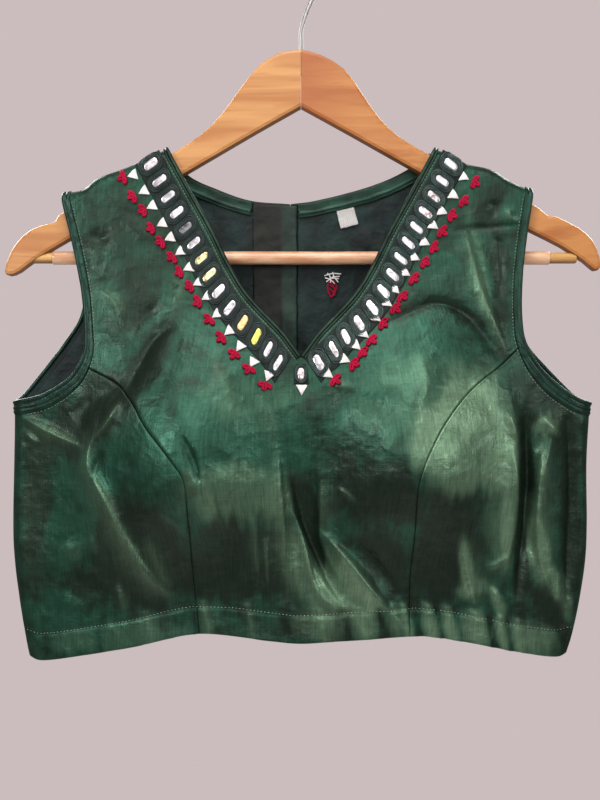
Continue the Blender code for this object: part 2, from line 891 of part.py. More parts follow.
def back_neck_facing(name):
    """A strip under the back neck edge, from the placket or the opening to near the shoulder."""
    neck = EDGES["neck_back"][name]
    start_x = PLACKET_FREE_EDGE_X - GAP if name == "left" else LINING_RIGHT_EDGE_X
    run_start = neck.run[np.abs(neck.line[:, 0] - start_x).argmin()]
    places = spaced(float(run_start), neck.length - FACING_END, STRIP_STEP)
    outer, inner = [], []
    for run in places:
        edge, way = neck.at(run), neck.direction(run)
        down = Point(way.z, -way.x) if way.x > 0 else Point(-way.z, way.x)
        row_out, row_in = [], []
        for part in FACING_PARTS:
            x, z = edge.x + down.x * FACING_WIDTH * part, edge.z + down.z * FACING_WIDTH * part
            row_out.append(cloth_point("back", x, z, INNER_LAYER))
            row_in.append(cloth_point("back", x, z, INNER_LAYER + STRIP_WALL))
        outer.append(row_out)
        inner.append(row_in)
    return wall_from_grid(f"back_neck_facing_{name}", outer, inner, "satin")


def back_placket_strip():
    """The underlap of the back closing, seen inside from the neck to the hem."""
    top = EDGES["neck_back"]["left"]
    columns = spaced(PLACKET_FREE_EDGE_X, PLACKET_SEAM_EDGE_X, PLACKET_STEP)
    outer, inner = [], []
    for part in spaced(0.0, 1.0, 1 / PLACKET_ROWS):
        row_out, row_in = [], []
        for x in columns:
            top_z = top.z_at(min(x, BACK_OPENING_X)) - PLACKET_TOP_DROP
            z = lerp(top_z, HEM["back"].z_at(x) + PLACKET_HEM_RISE, part)
            row_out.append(cloth_point("back", x, z, INNER_LAYER))
            row_in.append(cloth_point("back", x, z, INNER_LAYER + STRIP_WALL))
        outer.append(row_out)
        inner.append(row_in)
    return wall_from_grid("back_placket_strip", outer, inner, "satin")


def size_label():
    """A blank square of tape, sewn in below the right facing."""
    outer, inner = [], []
    for down in (-0.5, 0.5):
        row_out, row_in = [], []
        for across in (-0.5, 0.5):
            x = LABEL_CENTRE.x + LABEL_SIZE * (across * cos(LABEL_TURN) + down * sin(LABEL_TURN))
            z = LABEL_CENTRE.z + LABEL_SIZE * (across * sin(LABEL_TURN) - down * cos(LABEL_TURN))
            row_out.append(cloth_point("back", x, z, INNER_LAYER))
            row_in.append(cloth_point("back", x, z, INNER_LAYER + LABEL_WALL))
        outer.append(row_out)
        inner.append(row_in)
    return wall_from_grid("size_label", outer, inner, "label")


# ================================================================== bindings and bands
def strip_lift(x, z):
    """Gap under a strip: more where the cloth turns over the shoulder or round the side."""
    turn = max(1 - shoulder_drop(x, z) / SHOULDER_RADIUS, 1 - side_distance(x, z) / SIDE_RADIUS, 0.0)
    return STRIP_LIFT + TURN_LIFT * min(turn, 1.0)


def edge_strip(name, face, places, width_at, finish):
    """A strip laid on the cloth along an edge. places: (edge point, unit way into the cloth)."""
    outer, inner = [], []
    for i, (edge, way) in enumerate(places):
        width = width_at(i / (len(places) - 1))
        row_out, row_in = [], []
        for part, thick in STRIP_PROFILE:
            x, z = edge.x + way.x * width * part, edge.z + way.z * width * part
            lift = strip_lift(x, z)
            row_out.append(cloth_point(face, x, z, -lift - thick))
            row_in.append(cloth_point(face, x, z, -lift))
        outer.append(row_out)
        inner.append(row_in)
    return wall_from_grid(name, outer, inner, finish)


def turned(way, sign):
    """A unit way turned a quarter, toward the side that sign gives."""
    return Point(-way.z * sign, way.x * sign)


def band_runs(length, end_turn, step):
    """Places along an edge, close together where the cloth turns over the shoulder and at the far end."""
    turns = [1 - cos(radians(angle)) for angle in TURN_ANGLES]
    start = [SHOULDER_RADIUS * SHOULDER_SLANT * part for part in turns]
    end = [length - end_turn * part for part in reversed(turns)]
    return start + spaced(start[-1], end[0], step)[1:-1] + (end if end_turn else end[:1])


def armhole_band(name, face):
    """The armhole binding on one face, from the shoulder line to the side seam."""
    edge = EDGES["armhole" if face == "front" else "armhole_back"][name]
    places = []
    for run in band_runs(edge.length, SIDE_RADIUS * UNDERARM_SLANT[face], STRIP_STEP):
        places.append((edge.at(run), turned(edge.direction(run), -SIDES[name])))

    def width_at(part):
        return lerp(BAND_WIDTH_AT_SHOULDER, BAND_WIDTH_AT_UNDERARM, ease((part - 0.55) / 0.35))

    return edge_strip(f"armhole_band_{name}_{face}", face, places, width_at, "satin")


def neck_binding(name):
    """The rolled edge of the V on one side, from the shoulder to the point."""
    neck = EDGES["neck"][name]
    places = []
    for run in band_runs(neck.length - NECK_BINDING_END, 0.0, STRIP_STEP):
        places.append((neck.at(run), turned(neck.direction(run), SIDES[name])))
    return edge_strip(f"neck_binding_{name}", "front", places, lambda part: NECK_BINDING_WIDTH, "satin")


# ================================================================== mirror work
# Half widths at its low and high edges, the low, middle and high edges' v, and the mirror's length.
Cell = namedtuple("Cell", "half_low half_high low mid high long")


class MirrorRun:
    """Places along one side of the V: u counts mirrors from the shoulder, v is across, from the edge."""

    cell = Cell(MIRROR_PITCH / 2, MIRROR_PITCH / 2, BAND_INNER, MIRROR_FROM_EDGE, BAND_OUTER, MIRROR_LONG)

    def __init__(self, name):
        self.sign = SIDES[name]
        self.neck = EDGES["neck"][name]

    def place(self, u, v):
        run = FIRST_MIRROR_DROP + u * MIRROR_PITCH
        edge = self.neck.at(run)
        way = turned(self.neck.direction(run, 12.0), self.sign)
        tilt = lerp(TILT_AT_SHOULDER, TILT_AT_POINT, u / (MIRRORS_A_SIDE - 1)) * self.sign
        turn_x = way.x * cos(tilt) + way.z * sin(tilt)
        turn_z = -way.x * sin(tilt) + way.z * cos(tilt)
        reach = v / cos(tilt)
        return Point(edge.x + turn_x * reach, edge.z + turn_z * reach)

    def lift(self, u):
        """Clear of the cloth: more for the first mirror, which is flat where the shoulder turns."""
        return FRAME_LIFT + TOP_MIRROR_LIFT * max(0.0, 1 - u)


class CentreRun:
    """The place of the one mirror under the point of the V: u is across, v runs down."""

    cell = Cell(
        CENTRE_FRAME_TOP_HALF,
        CENTRE_FRAME_LOW_HALF,
        CENTRE_MIRROR_DROP - CENTRE_FRAME_ABOVE,
        CENTRE_MIRROR_DROP,
        CENTRE_MIRROR_DROP + CENTRE_FRAME_BELOW,
        CENTRE_MIRROR_LONG,
    )

    def place(self, u, v):
        point = EDGES["neck"]["left"].at_part(1)
        return Point(u * MIRROR_PITCH, point.z - v)

    def lift(self, u):
        return FRAME_LIFT


def oval_ring(half_u, half_v):
    """Places round a stadium: straight sides and half-round ends, as (u, v) offsets in millimetres."""
    ring = []
    straight = half_v - half_u
    for i in range(OVAL_SIDES):
        angle = 2 * pi * (i + 0.5) / OVAL_SIDES
        rise = sin(angle)
        ring.append((half_u * cos(angle), half_u * rise + straight * (1 if rise > 0 else -1)))
    return ring


def cell_ring(cell):
    """The same count of places round a cell, matched by angle to the oval's, with a place at each corner."""
    ring = []
    for u, v in oval_ring(1.0, 1.6):
        reach_v = cell.high - cell.mid if v > 0 else cell.mid - cell.low
        scale = min(1 / max(abs(u), 1e-6), reach_v / max(abs(v), 1e-6))
        ring.append([u * scale, v * scale])
    for want_u in (-1, 1):
        for want_v in (-1, 1):
            corner = max(ring, key=lambda place: place[0] * want_u * 10 + place[1] * want_v)
            corner[:] = [want_u, cell.high - cell.mid if want_v > 0 else cell.low - cell.mid]
    for place in ring:
        place[0] *= lerp(cell.half_low, cell.half_high, (place[1] + cell.mid - cell.low) / (cell.high - cell.low))
    return ring


def mirror_cell(run, u):
    """Rings of one framed mirror, from its outer edge to its hollow: (place, lift, rise)."""
    cell = run.cell
    half_u = MIRROR_WIDE / 2 + FRAME_TO_MIRROR
    half_v = cell.long / 2 + FRAME_TO_MIRROR
    rings = [
        (cell_ring(cell), FRAME_BASE),
        (oval_ring(half_u + FRAME_CREST, half_v + FRAME_CREST), FRAME_RISE),
        (oval_ring(half_u, half_v), FRAME_BASE),
    ]
    placed = []
    for ring, rise in rings:
        row = []
        for du, dv in ring:
            at = u + du / MIRROR_PITCH
            row.append((run.place(at, cell.mid + dv), run.lift(at), rise))
        placed.append(row)
    return placed


def mirror_work(name, run, cells):
    """The framed band as one closed body: a cell for each mirror, open under the mirror."""
    points, faces = [], []
    for u in cells:
        rings = mirror_cell(run, u)
        first = len(points)
        for ring in rings:
            points += [cloth_point("front", *place, -lift - rise) for place, lift, rise in ring]
        points += [cloth_point("front", *place, -lift) for place, lift, _ in rings[0]]
        points += [cloth_point("front", *place, -lift) for place, lift, _ in rings[-1]]
        # From the bottom's outer ring (3) up, over the crest and down to its inner ring (4), and back.
        order = [3, 0, 1, 2, 4, 3]
        for a, b in zip(order, order[1:]):
            low, high = first + a * OVAL_SIDES, first + b * OVAL_SIDES
            for i in range(OVAL_SIDES):
                j = (i + 1) % OVAL_SIDES
                if (a, b) == (3, 0) and inner_wall(rings[0], i, j, u, cells, run):
                    continue
                faces.append((low + i, low + j, high + j, high + i))
    body = mesh_object(name, points, faces, "thread")
    work = bmesh.new()
    work.from_mesh(body.data)
    bmesh.ops.remove_doubles(work, verts=work.verts, dist=0.00002)
    bmesh.ops.recalc_face_normals(work, faces=work.faces)
    work.to_mesh(body.data)
    work.free()
    return body


def inner_wall(ring, i, j, u, cells, run):
    """True for a cell side that lies on its neighbour's side, which has no wall."""
    for edge, neighbour in ((0.5, u + 1), (-0.5, u - 1)):
        if neighbour not in cells:
            continue
        ends = [ring[k][0] for k in (i, j)]
        on_side = True
        for end in ends:
            low = run.place(u + edge, BAND_INNER)
            high = run.place(u + edge, BAND_OUTER)
            cross = (high.x - low.x) * (end.z - low.z) - (high.z - low.z) * (end.x - low.x)
            on_side = on_side and abs(cross) / hypot(high.x - low.x, high.z - low.z) < 0.05
        if on_side:
            return True
    return False


def mirror(name, run, u):
    """One oval mirror, lying in its frame."""
    oval = oval_ring(MIRROR_WIDE / 2, run.cell.long / 2)
    ring = [run.place(u + du / MIRROR_PITCH, run.cell.mid + dv) for du, dv in oval]
    n = len(ring)
    lift = run.lift(u)
    points = [cloth_point("front", *place, -lift - MIRROR_WALL) for place in ring]
    points += [cloth_point("front", *place, -lift) for place in ring]
    faces = [list(range(n)), list(range(2 * n - 1, n - 1, -1))]
    faces += [(i, n + i, n + (i + 1) % n, (i + 1) % n) for i in range(n)]
    return mesh_object(name, points, faces, "mirror")


def mirror_band():
    cells = list(range(MIRRORS_A_SIDE))
    for name in SIDES:
        run = MirrorRun(name)
        mirror_work(f"mirror_frames_{name}", run, cells)
        for u in cells:
            mirror(f"mirror_{name}_{u + 1:02d}", run, u)
    mirror_work("mirror_frame_centre", CentreRun(), [0])
    mirror("mirror_centre", CentreRun(), 0)


# ================================================================== hanger
def cutter(name, mesh, place, turn):
    """A hidden body that a Boolean takes away."""
    made = bpy.data.objects.new(name, mesh)
    made.location = [c * MM for c in place]
    made.rotation_euler = turn
    made.hide_render = True
    made.display_type = "WIRE"
    bpy.context.scene.collection.objects.link(made)
    return made


def rod_mesh(name, radius, length, sides):
    """A rod along Z, centred."""
    mesh = bpy.data.meshes.new(name)
    work = bmesh.new()
    bmesh.ops.create_cone(
        work, cap_ends=True, segments=sides, radius1=radius * MM, radius2=radius * MM, depth=length * MM
    )
    work.to_mesh(mesh)
    work.free()
    mesh.shade_smooth()
    mesh.set_sharp_from_angle(angle=radians(50))
    return mesh


def hanger_arm(name):
    """A flat-faced wooden arm with rounded edges, bored for the bar and for half of the hook's shank."""
    sign = SIDES[name]
    line = smooth(ARM_OUTLINE[name], per_span=2)
    line[:, 0] += sign * ARM_JOINT_GAP / 2
    mesh = bpy.data.meshes.new(f"hanger_{name}_arm")
    work = bmesh.new()
    ring = [work.verts.new((x * MM, -ARM_HALF_THICK * MM, z * MM)) for x, z in line]
    face = work.faces.new(ring)
    grown = bmesh.ops.extrude_face_region(work, geom=[face])
    lifted = [v for v in grown["geom"] if isinstance(v, bmesh.types.BMVert)]
    bmesh.ops.translate(work, verts=lifted, vec=(0, 2 * ARM_HALF_THICK * MM, 0))
    bmesh.ops.recalc_face_normals(work, faces=work.faces)
    joint_x = sign * ARM_JOINT_GAP / 2 * MM
    rounded = []
    for e in work.edges:
        flat = abs(e.verts[0].co.y - e.verts[1].co.y) < 1e-6
        at_joint = all(abs(v.co.x - joint_x) < 1e-5 for v in e.verts)
        if flat and not at_joint:
            rounded.append(e)
    bmesh.ops.bevel(work, geom=rounded, offset=ARM_ROUND * MM, segments=2, profile=0.5, affect="EDGES")
    work.to_mesh(mesh)
    work.free()
    mesh.shade_smooth()
    mesh.set_sharp_from_angle(angle=radians(45))
    arm = add_object(f"hanger_{name}_arm", mesh, "wood")
    bar_bore = cutter(
        f"bar_bore_{name}",
        rod_mesh(f"bar_bore_{name}", BAR_RADIUS + GAP, BAR_BORE_LENGTH, ROUND_SIDES),
        (sign * (BAR_END_X + GAP - BAR_BORE_LENGTH / 2), 0, BAR_Z),
        (0, pi / 2, 0),
    )
    shank_bore = cutter(
        f"shank_bore_{name}",
        rod_mesh(f"shank_bore_{name}", WIRE_RADIUS + GAP, SHANK_BORE_LENGTH, WIRE_SIDES),
        (0, 0, SHANK_BOTTOM_Z - GAP + SHANK_BORE_LENGTH / 2),
        (0, 0, 0),
    )
    for tool in (bar_bore, shank_bore):
        cut = arm.modifiers.new(tool.name, "BOOLEAN")
        cut.object = tool
        cut.operation = "DIFFERENCE"
    return arm


def trouser_bar():
    bar = add_object("trouser_bar", rod_mesh("trouser_bar", BAR_RADIUS, 2 * BAR_END_X, ROUND_SIDES), "wood")
    bar.location = (0, 0, BAR_Z * MM)
    bar.rotation_euler = (0, pi / 2, 0)


def bar_sleeve():
    """A clear tube slid over the bar: four rings, two ends outside and two inside, joined round."""
    stations = [
        (-SLEEVE_END_X, SLEEVE_RADIUS),
        (SLEEVE_END_X, SLEEVE_RADIUS),
        (SLEEVE_END_X, BAR_RADIUS + GAP),
        (-SLEEVE_END_X, BAR_RADIUS + GAP),
    ]
    points, faces = [], []
    for x, radius in stations:
        for k in range(ROUND_SIDES):
            angle = 2 * pi * (k + 0.5) / ROUND_SIDES
            points.append((x, radius * cos(angle), BAR_Z + radius * sin(angle)))
    for a in range(len(stations)):
        b = (a + 1) % len(stations)
        for k in range(ROUND_SIDES):
            j = (k + 1) % ROUND_SIDES
            faces.append((a * ROUND_SIDES + k, a * ROUND_SIDES + j, b * ROUND_SIDES + j, b * ROUND_SIDES + k))
    return mesh_object("bar_sleeve", points, faces, "sleeve")


def hook_path():
    """The wire's centre line: up the shank, out to the right, over the rail and round to its open end."""
    centre_z = WIRE_RADIUS - HOOK_RADIUS
    path = [Vector((0, 0, z)) for z in spaced(SHANK_BOTTOM_Z, SHANK_STRAIGHT_Z, 10.0)]
    join = Vector((HOOK_RADIUS * cos(HOOK_JOIN_ANGLE), 0, centre_z + HOOK_RADIUS * sin(HOOK_JOIN_ANGLE)))
    leave = Vector((0, 0, HOOK_LEAVE))
    arrive = Vector((-sin(HOOK_JOIN_ANGLE), 0, cos(HOOK_JOIN_ANGLE))) * HOOK_ARRIVE
    start = path[-1]
    for i in range(1, HOOK_BEND_STEPS):
        u = i / HOOK_BEND_STEPS
        path.append(
            (2 * u**3 - 3 * u**2 + 1) * start
            + (u**3 - 2 * u**2 + u) * leave
            + (3 * u**2 - 2 * u**3) * join
            + (u**3 - u**2) * arrive
        )
    for i in range(HOOK_ARC_STEPS + 1):
        angle = lerp(HOOK_JOIN_ANGLE, HOOK_END_ANGLE, i / HOOK_ARC_STEPS)
        path.append(Vector((HOOK_RADIUS * cos(angle), 0, centre_z + HOOK_RADIUS * sin(angle))))
    return path


def hanger_hook():
    """The steel hook, swept as rings square to its path."""
    path = hook_path()
    points, faces = [], []
    for i, place in enumerate(path):
        way = (path[min(i + 1, len(path) - 1)] - path[max(i - 1, 0)]).normalized()
        across = Vector((way.z, 0, -way.x))
        for k in range(WIRE_SIDES):
            angle = 2 * pi * k / WIRE_SIDES
            offset = across * cos(angle) + Vector((0, sin(angle), 0))
            points.append(place + offset * WIRE_RADIUS)
    n = WIRE_SIDES
    for i in range(len(path) - 1):
        for k in range(n):
            j = (k + 1) % n
            faces.append((i * n + k, i * n + j, (i + 1) * n + j, (i + 1) * n + k))
    faces.append(list(range(n - 1, -1, -1)))
    faces.append(list(range((len(path) - 1) * n, len(path) * n)))
    return mesh_object("hanger_hook", points, faces, "steel")


def build():
    for thing in list(bpy.data.objects):
        bpy.data.objects.remove(thing, do_unlink=True)
    front_centre()
    for name in SIDES:
        front_side(name, seam_heights(name))
        back_outer(name)
        back_lining(name)
        back_neck_facing(name)
        for face in ("front", "back"):
            armhole_band(name, face)
        neck_binding(name)
        hanger_arm(name)
    back_placket_strip()
    size_label()
    mirror_band()
    trouser_bar()
    bar_sleeve()
    hanger_hook()


build()
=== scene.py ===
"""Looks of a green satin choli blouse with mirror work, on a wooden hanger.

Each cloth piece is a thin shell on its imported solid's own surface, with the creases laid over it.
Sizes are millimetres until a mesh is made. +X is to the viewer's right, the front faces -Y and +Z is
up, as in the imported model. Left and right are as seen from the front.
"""

from functools import partial
from math import cos, hypot, pi, radians, sin, tau

import bmesh
import bpy
import numpy as np
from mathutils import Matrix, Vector


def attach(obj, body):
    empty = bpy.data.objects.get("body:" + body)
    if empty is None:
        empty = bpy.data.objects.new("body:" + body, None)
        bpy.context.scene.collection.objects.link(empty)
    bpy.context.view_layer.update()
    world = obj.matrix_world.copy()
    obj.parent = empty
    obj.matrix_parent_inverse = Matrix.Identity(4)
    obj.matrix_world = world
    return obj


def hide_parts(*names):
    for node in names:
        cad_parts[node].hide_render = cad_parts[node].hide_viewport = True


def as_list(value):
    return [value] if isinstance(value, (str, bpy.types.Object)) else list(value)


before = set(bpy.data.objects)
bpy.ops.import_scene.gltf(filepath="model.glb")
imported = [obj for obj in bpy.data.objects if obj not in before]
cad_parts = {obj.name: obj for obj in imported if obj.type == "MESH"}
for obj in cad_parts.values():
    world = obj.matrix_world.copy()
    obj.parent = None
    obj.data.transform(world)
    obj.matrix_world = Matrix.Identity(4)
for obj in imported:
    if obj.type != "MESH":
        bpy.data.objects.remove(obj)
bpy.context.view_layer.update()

MM = 0.001
BODY = "root"
SIDES = {"left": -1, "right": 1}
FACES = {"front": -1, "back": 1}
RNG = np.random.default_rng(14)

# ---- sizes that the solids have too
GAP = 0.3
WALL = 1.3
HEM_WALL = 1.8
HEM_TURN = 20.0
LINING_WALL = 1.0
STRIP_WALL = 1.0
INNER_LAYER = HEM_WALL + GAP + LINING_WALL + GAP
SIDE_RADIUS = 8.0
SHOULDER_RADIUS = 8.0
SIDE_POWER = 2.2
STEEP = 1000.0
SLOPE_STEP = 0.25

# Points are (x, z). How far each face stands off the seams' plane: z, then at the middle and at the edge.
DEPTHS = {"front": [
    (-150, 10, 10), (-200, 12.5, 10), (-240, 15, 10), (-274, 19, 9), (-307, 24, 8), (-340, 25, 6.5),
    (-390, 21, 6.5), (-430, 23, 6.5), (-470, 27, 6), (-532, 30.5, 5),
], "back": [
    (-150, 10.2, 10.2), (-190, 12.2, 10.2), (-240, 13.2, 9.5), (-340, 14, 6.5), (-430, 15, 6.5),
    (-532, 16, 5),
]}

# Each cup's middle, its depth and half width, and how far it reaches above and below.
CUPS = [(-84, -393, 38, 60, 78, 52), (84, -391, 38, 60, 78, 52)]

# The solids' own folds: straight runs that fade at both ends, with a half width and a rise.
FOLD_REACH = 0.4
FOLD_FADE = 0.14
FOLDS = {"front": [
    (0, -398, 32, -484, 8, -3), (18, -436, 60, -486, 7, 2.6), (-102, -278, -138, -338, 9, -2.4),
    (-153, -386, -104, -474, 8, 2.4), (-138, -345, -188, -470, 13, 2.4), (-30, -434, -14, -494, 7, 2.2),
    (184, -352, 176, -410, 8, 2.4), (171, -412, 190, -486, 8, 2.4), (163, -362, 170, -455, 8, -2.6),
    (120, -226, 133, -285, 10, 1.8),
], "back": [
    (-150, -250, -95, -420, 14, 2.4), (140, -255, 100, -400, 14, 2.2), (-84, -300, -74, -500, 12, -2.2),
    (55, -330, 70, -505, 12, 2.2), (160, -370, 150, -500, 13, 2.4), (-165, -380, -150, -505, 13, -2),
]}

NECK_FRONT = [
    (99.5, -152), (82, -184.5), (65.6, -214), (51.9, -241.5), (38, -263.5), (14.5, -288.7), (6.5, -299),
    (0, -308),
]
NECK_BACK = {"left": [
    (-8, -191.7), (-38.6, -189), (-65, -180), (-85.4, -170), (-99.5, -152),
], "right": [
    (-8, -191.7), (14.4, -188.5), (52.2, -178.5), (78.6, -167), (99.5, -152),
]}
SHOULDER = {"left": [
    (-99.5, -152), (-112.5, -158.5), (-127.4, -165.2), (-149.7, -173.4), (-160.9, -181.6),
    (-175.8, -185.6),
], "right": [
    (99.5, -152), (114.7, -158.5), (124.4, -163.6), (140.8, -167.4), (155.7, -176.3), (170.4, -182.5),
]}
ARMHOLE_FRONT = {"left": [
    (-175.8, -185.6), (-174.4, -195), (-167.1, -225), (-160.4, -258), (-157.3, -290), (-158.6, -306),
    (-168.2, -322), (-185.6, -333.2), (-197.2, -337.3), (-213, -340),
], "right": [
    (170.4, -182.5), (169.3, -192), (164.8, -221), (161.2, -254), (161.2, -283), (164.5, -298.3),
    (173.9, -313.7), (188.4, -327.7), (204.9, -338), (215, -341),
]}
ARMHOLE_BACK = {"left": [
    (-175.8, -185.6), (-168, -215), (-162, -246), (-165, -274), (-174.8, -292), (-192.3, -316),
    (-205, -332), (-213, -340),
], "right": [
    (170.4, -182.5), (166, -210), (162, -246), (164, -280), (170.3, -298), (185.7, -316), (203, -334),
    (215, -341),
]}
SIDE_SEAM = {"left": [
    (-213, -340), (-213.2, -370), (-214.2, -430), (-213, -458), (-209.3, -488), (-204.5, -517),
    (-202, -529),
], "right": [
    (215, -341), (212.5, -385), (212.8, -430), (211.6, -458), (207.1, -488), (202, -512), (197.5, -527),
]}
PRINCESS_SEAM = {"left": [
    (-161.5, -313.2), (-145.7, -320.2), (-131.2, -328.6), (-120, -342), (-109.8, -358.6),
    (-89.8, -382.6), (-81.4, -397), (-79.1, -429.7), (-77.5, -465), (-73.8, -507.6),
], "right": [
    (163.9, -296.9), (144.3, -314.6), (129.8, -325), (113.7, -340.2), (97.7, -361.3), (86.1, -384),
    (81.3, -404), (80.7, -437), (78.5, -465), (78.7, -509.4),
]}
HEM_FRONT = [
    (-202, -529), (-190, -531), (-161, -526), (-123, -518.5), (-73.8, -507.6), (-22, -512.2), (0, -513.9),
    (35, -512.2), (78.7, -509.4), (99, -511), (128.5, -516.4), (159, -523.6), (187, -528.5), (197.5, -527),
]
HEM_BACK = [
    (-202, -529), (-160, -521), (-90, -511.5), (-8, -512.5), (80, -511), (150, -519), (197.5, -527),
]
EDGE_RUNS = {
    "neck_back": NECK_BACK, "shoulder": SHOULDER, "armhole_front": ARMHOLE_FRONT,
    "armhole_back": ARMHOLE_BACK, "side": SIDE_SEAM, "princess": PRINCESS_SEAM,
}
HEM_RUNS = {"front": HEM_FRONT, "back": HEM_BACK}
BACK_OPENING_X = -8.0
NECK_POINT_Z = -308.0
SEAM_DIP, SEAM_HALF_WIDTH, SEAM_SLANT = 0.24, 0.9, 0.85
SEAM_RIDGE, SEAM_RIDGE_OFF, SEAM_RIDGE_HALF_WIDTH = 0.25, 4.0, 2.4
STITCH_DIP, STITCH_HALF_WIDTH = 0.8, 1.6

# ---- creases laid over the solids' form
CREASE_GAIN, CREASE_POWER, CREASE_REACH = 1.8, 1.3, 2.6
# Each is a soft ridge (rise above 0) or trough (below 0) along a bent run: the run, its rise, and its
# half widths on its left and on its right, as seen from the front where it runs down.
CREASES = {"front": [
    # under the left cup, at the centre and toward the right seam
    ([(-17, -373), (-14, -411), (-12, -436), (-11, -462)], 2.4, 7, 1.8),
    ([(-9, -389), (-3, -409), (3, -431), (11, -451), (21, -472), (30, -485)], -4.2, 3, 10),
    ([(-10, -417), (-3, -425), (3, -443), (7, -463), (14, -479), (25, -489)], 1.8, 3, 1.5),
    ([(14, -394), (14, -436), (20, -454), (29, -470)], 2.2, 2.4, 8),
    ([(-3, -443), (-4, -461), (1, -482)], 1.2, 3, 3),
    ([(-32, -424), (-32, -444), (-31, -464)], 1.6, 4, 1.6), ([(-25, -436), (-24, -470)], 1.5, 2, 1.6),
    ([(-45, -431), (-47, -451)], -0.8, 1.6, 1.6), ([(27, -402), (39, -411)], 1, 1.6, 1.6),
    ([(20, -438), (34, -453), (50, -473), (65, -491)], 3.6, 15, 2.2),
    ([(35, -436), (57, -460), (73, -482)], -1.8, 6, 6),
    # right cup and right side
    ([(116, -436), (118, -456), (122, -472), (127, -490)], 2.8, 1.8, 8),
    ([(134, -461), (143, -458), (152, -452)], 1.8, 1.8, 4),
    ([(152, -336), (156, -372), (155, -411), (150, -460)], 3, 14, 3),
    ([(153, -374), (157, -400), (155, -430), (151, -456)], 1.4, 3, 1.2),
    ([(163, -346), (166, -389), (163, -436), (158, -488)], -4.5, 4, 4.5),
    ([(176, -372), (172, -420), (174, -454), (184, -480)], 3.4, 2.2, 9),
    ([(183, -366), (179, -382), (171, -402)], 1.4, 4, 4),
    ([(196, -353), (199, -397), (198, -440), (195, -490)], -3.2, 4, 5),
    ([(191, -464), (188, -480), (197, -487)], 1, 2.2, 2.2), ([(137, -475), (146, -487)], 1.2, 2, 2.4),
    # left side
    ([(-148, -360), (-153, -384), (-140, -409), (-125, -440), (-107, -467), (-92, -479)], 3.2, 11, 2.4),
    ([(-112, -432), (-102, -458), (-94, -476)], 1.5, 5, 5),
    ([(-100, -417), (-90, -425), (-84, -434)], 0.8, 1.6, 1.6),
    ([(-84, -362), (-75, -380), (-71, -398)], -2.6, 4, 2),
    ([(-69, -396), (-62, -409), (-58, -427)], 0.7, 1.6, 1.6),
    ([(-204, -352), (-183, -362), (-160, -372)], 2.2, 7, 3), ([(-204, -362), (-193, -371)], 1, 3, 2),
    ([(-129, -337), (-139, -355), (-151, -368)], 1.6, 3, 3),
    ([(-142, -375), (-149, -389), (-151, -400)], -1.4, 2.5, 3),
    ([(-136, -328), (-167, -353)], -1.2, 9, 9), ([(-173, -443), (-160, -454)], 1, 7, 7),
    ([(-154, -436), (-148, -451)], 0.9, 3, 3), ([(-134, -472), (-128, -492)], 1.4, 2.2, 3.5),
    ([(-160, -461), (-174, -483)], -1, 8, 8),
    # chest
    ([(-97, -288), (-108, -297), (-118, -316), (-125, -335)], -2.6, 4, 6),
    ([(-102, -267), (-116, -280), (-125, -295)], -1.2, 6, 6),
    ([(122, -217), (126, -239), (131, -259), (140, -282), (148, -304)], 2.2, 5, 3),
    ([(61, -285), (79, -275), (100, -268), (121, -277), (133, -292), (146, -311)], -2.4, 4, 4),
    ([(111, -213), (136, -212), (160, -210)], -0.9, 2, 2),
    ([(144, -217), (147, -239), (144, -267)], -1.6, 5, 6), ([(149, -227), (152, -252)], 1, 3, 3),
    ([(140, -191), (145, -204)], -1.2, 5, 5), ([(152, -198), (155, -210)], 0.9, 4, 4),
    ([(148, -345), (154, -360), (158, -371)], 1.3, 3, 3),
    ([(176, -350), (184, -359), (192, -366)], 1.8, 4, 3),
    ([(28, -333), (51, -337), (74, -333)], -0.7, 4, 5), ([(21, -328), (37, -330)], 0.7, 4, 4),
    ([(-156, -217), (-147, -220), (-138, -216)], -1, 4, 5),
    ([(-149, -256), (-136, -267), (-131, -280)], 1, 4, 4),
    ([(-80, -239), (-89, -259), (-95, -281)], 0.9, 4, 4),
    ([(-62, -310), (-50, -339), (-44, -368)], 0.8, 6, 6),
    ([(-28, -333), (-21, -360), (-18, -376)], 0.8, 5, 4),
    ([(86, -304), (89, -328), (84, -346)], 0.8, 6, 6),
], "back": [
    ([(-30, -215), (-60, -235), (-110, -246)], -1, 5, 5),
    ([(40, -212), (80, -236), (128, -243)], -1.1, 5, 6),
    ([(-128, -215), (-120, -255), (-128, -300)], 1.3, 6, 4),
    ([(125, -215), (118, -262), (124, -310)], 1.4, 4, 6),
    ([(-95, -330), (-120, -370), (-160, -392)], 1.6, 3, 6),
    ([(100, -326), (128, -362), (170, -380)], 1.7, 6, 3),
    ([(-120, -400), (-108, -450), (-118, -500)], 1.6, 2.4, 5),
    ([(-50, -380), (-44, -430), (-52, -488)], 1.3, 4, 2),
    ([(-30, -300), (-26, -340), (-33, -390)], -0.9, 3, 3),
    ([(28, -280), (33, -350), (26, -410)], 1, 4, 4),
    ([(110, -405), (98, -455), (106, -502)], 1.7, 5, 2.2),
    ([(35, -420), (42, -462), (34, -500)], 1.2, 2.2, 4),
    ([(185, -400), (176, -440), (184, -482)], 1.5, 3, 3),
    ([(-190, -395), (-182, -445), (-190, -490)], 1.5, 3, 3),
    ([(-150, -430), (-140, -470), (-146, -505)], -1.4, 4, 4),
    ([(140, -425), (132, -470), (140, -505)], -1.4, 4, 4),
    ([(60, -255), (95, -275), (140, -290)], 0.9, 6, 6),
    ([(-55, -262), (-92, -280), (-135, -296)], 0.9, 6, 6),
]}

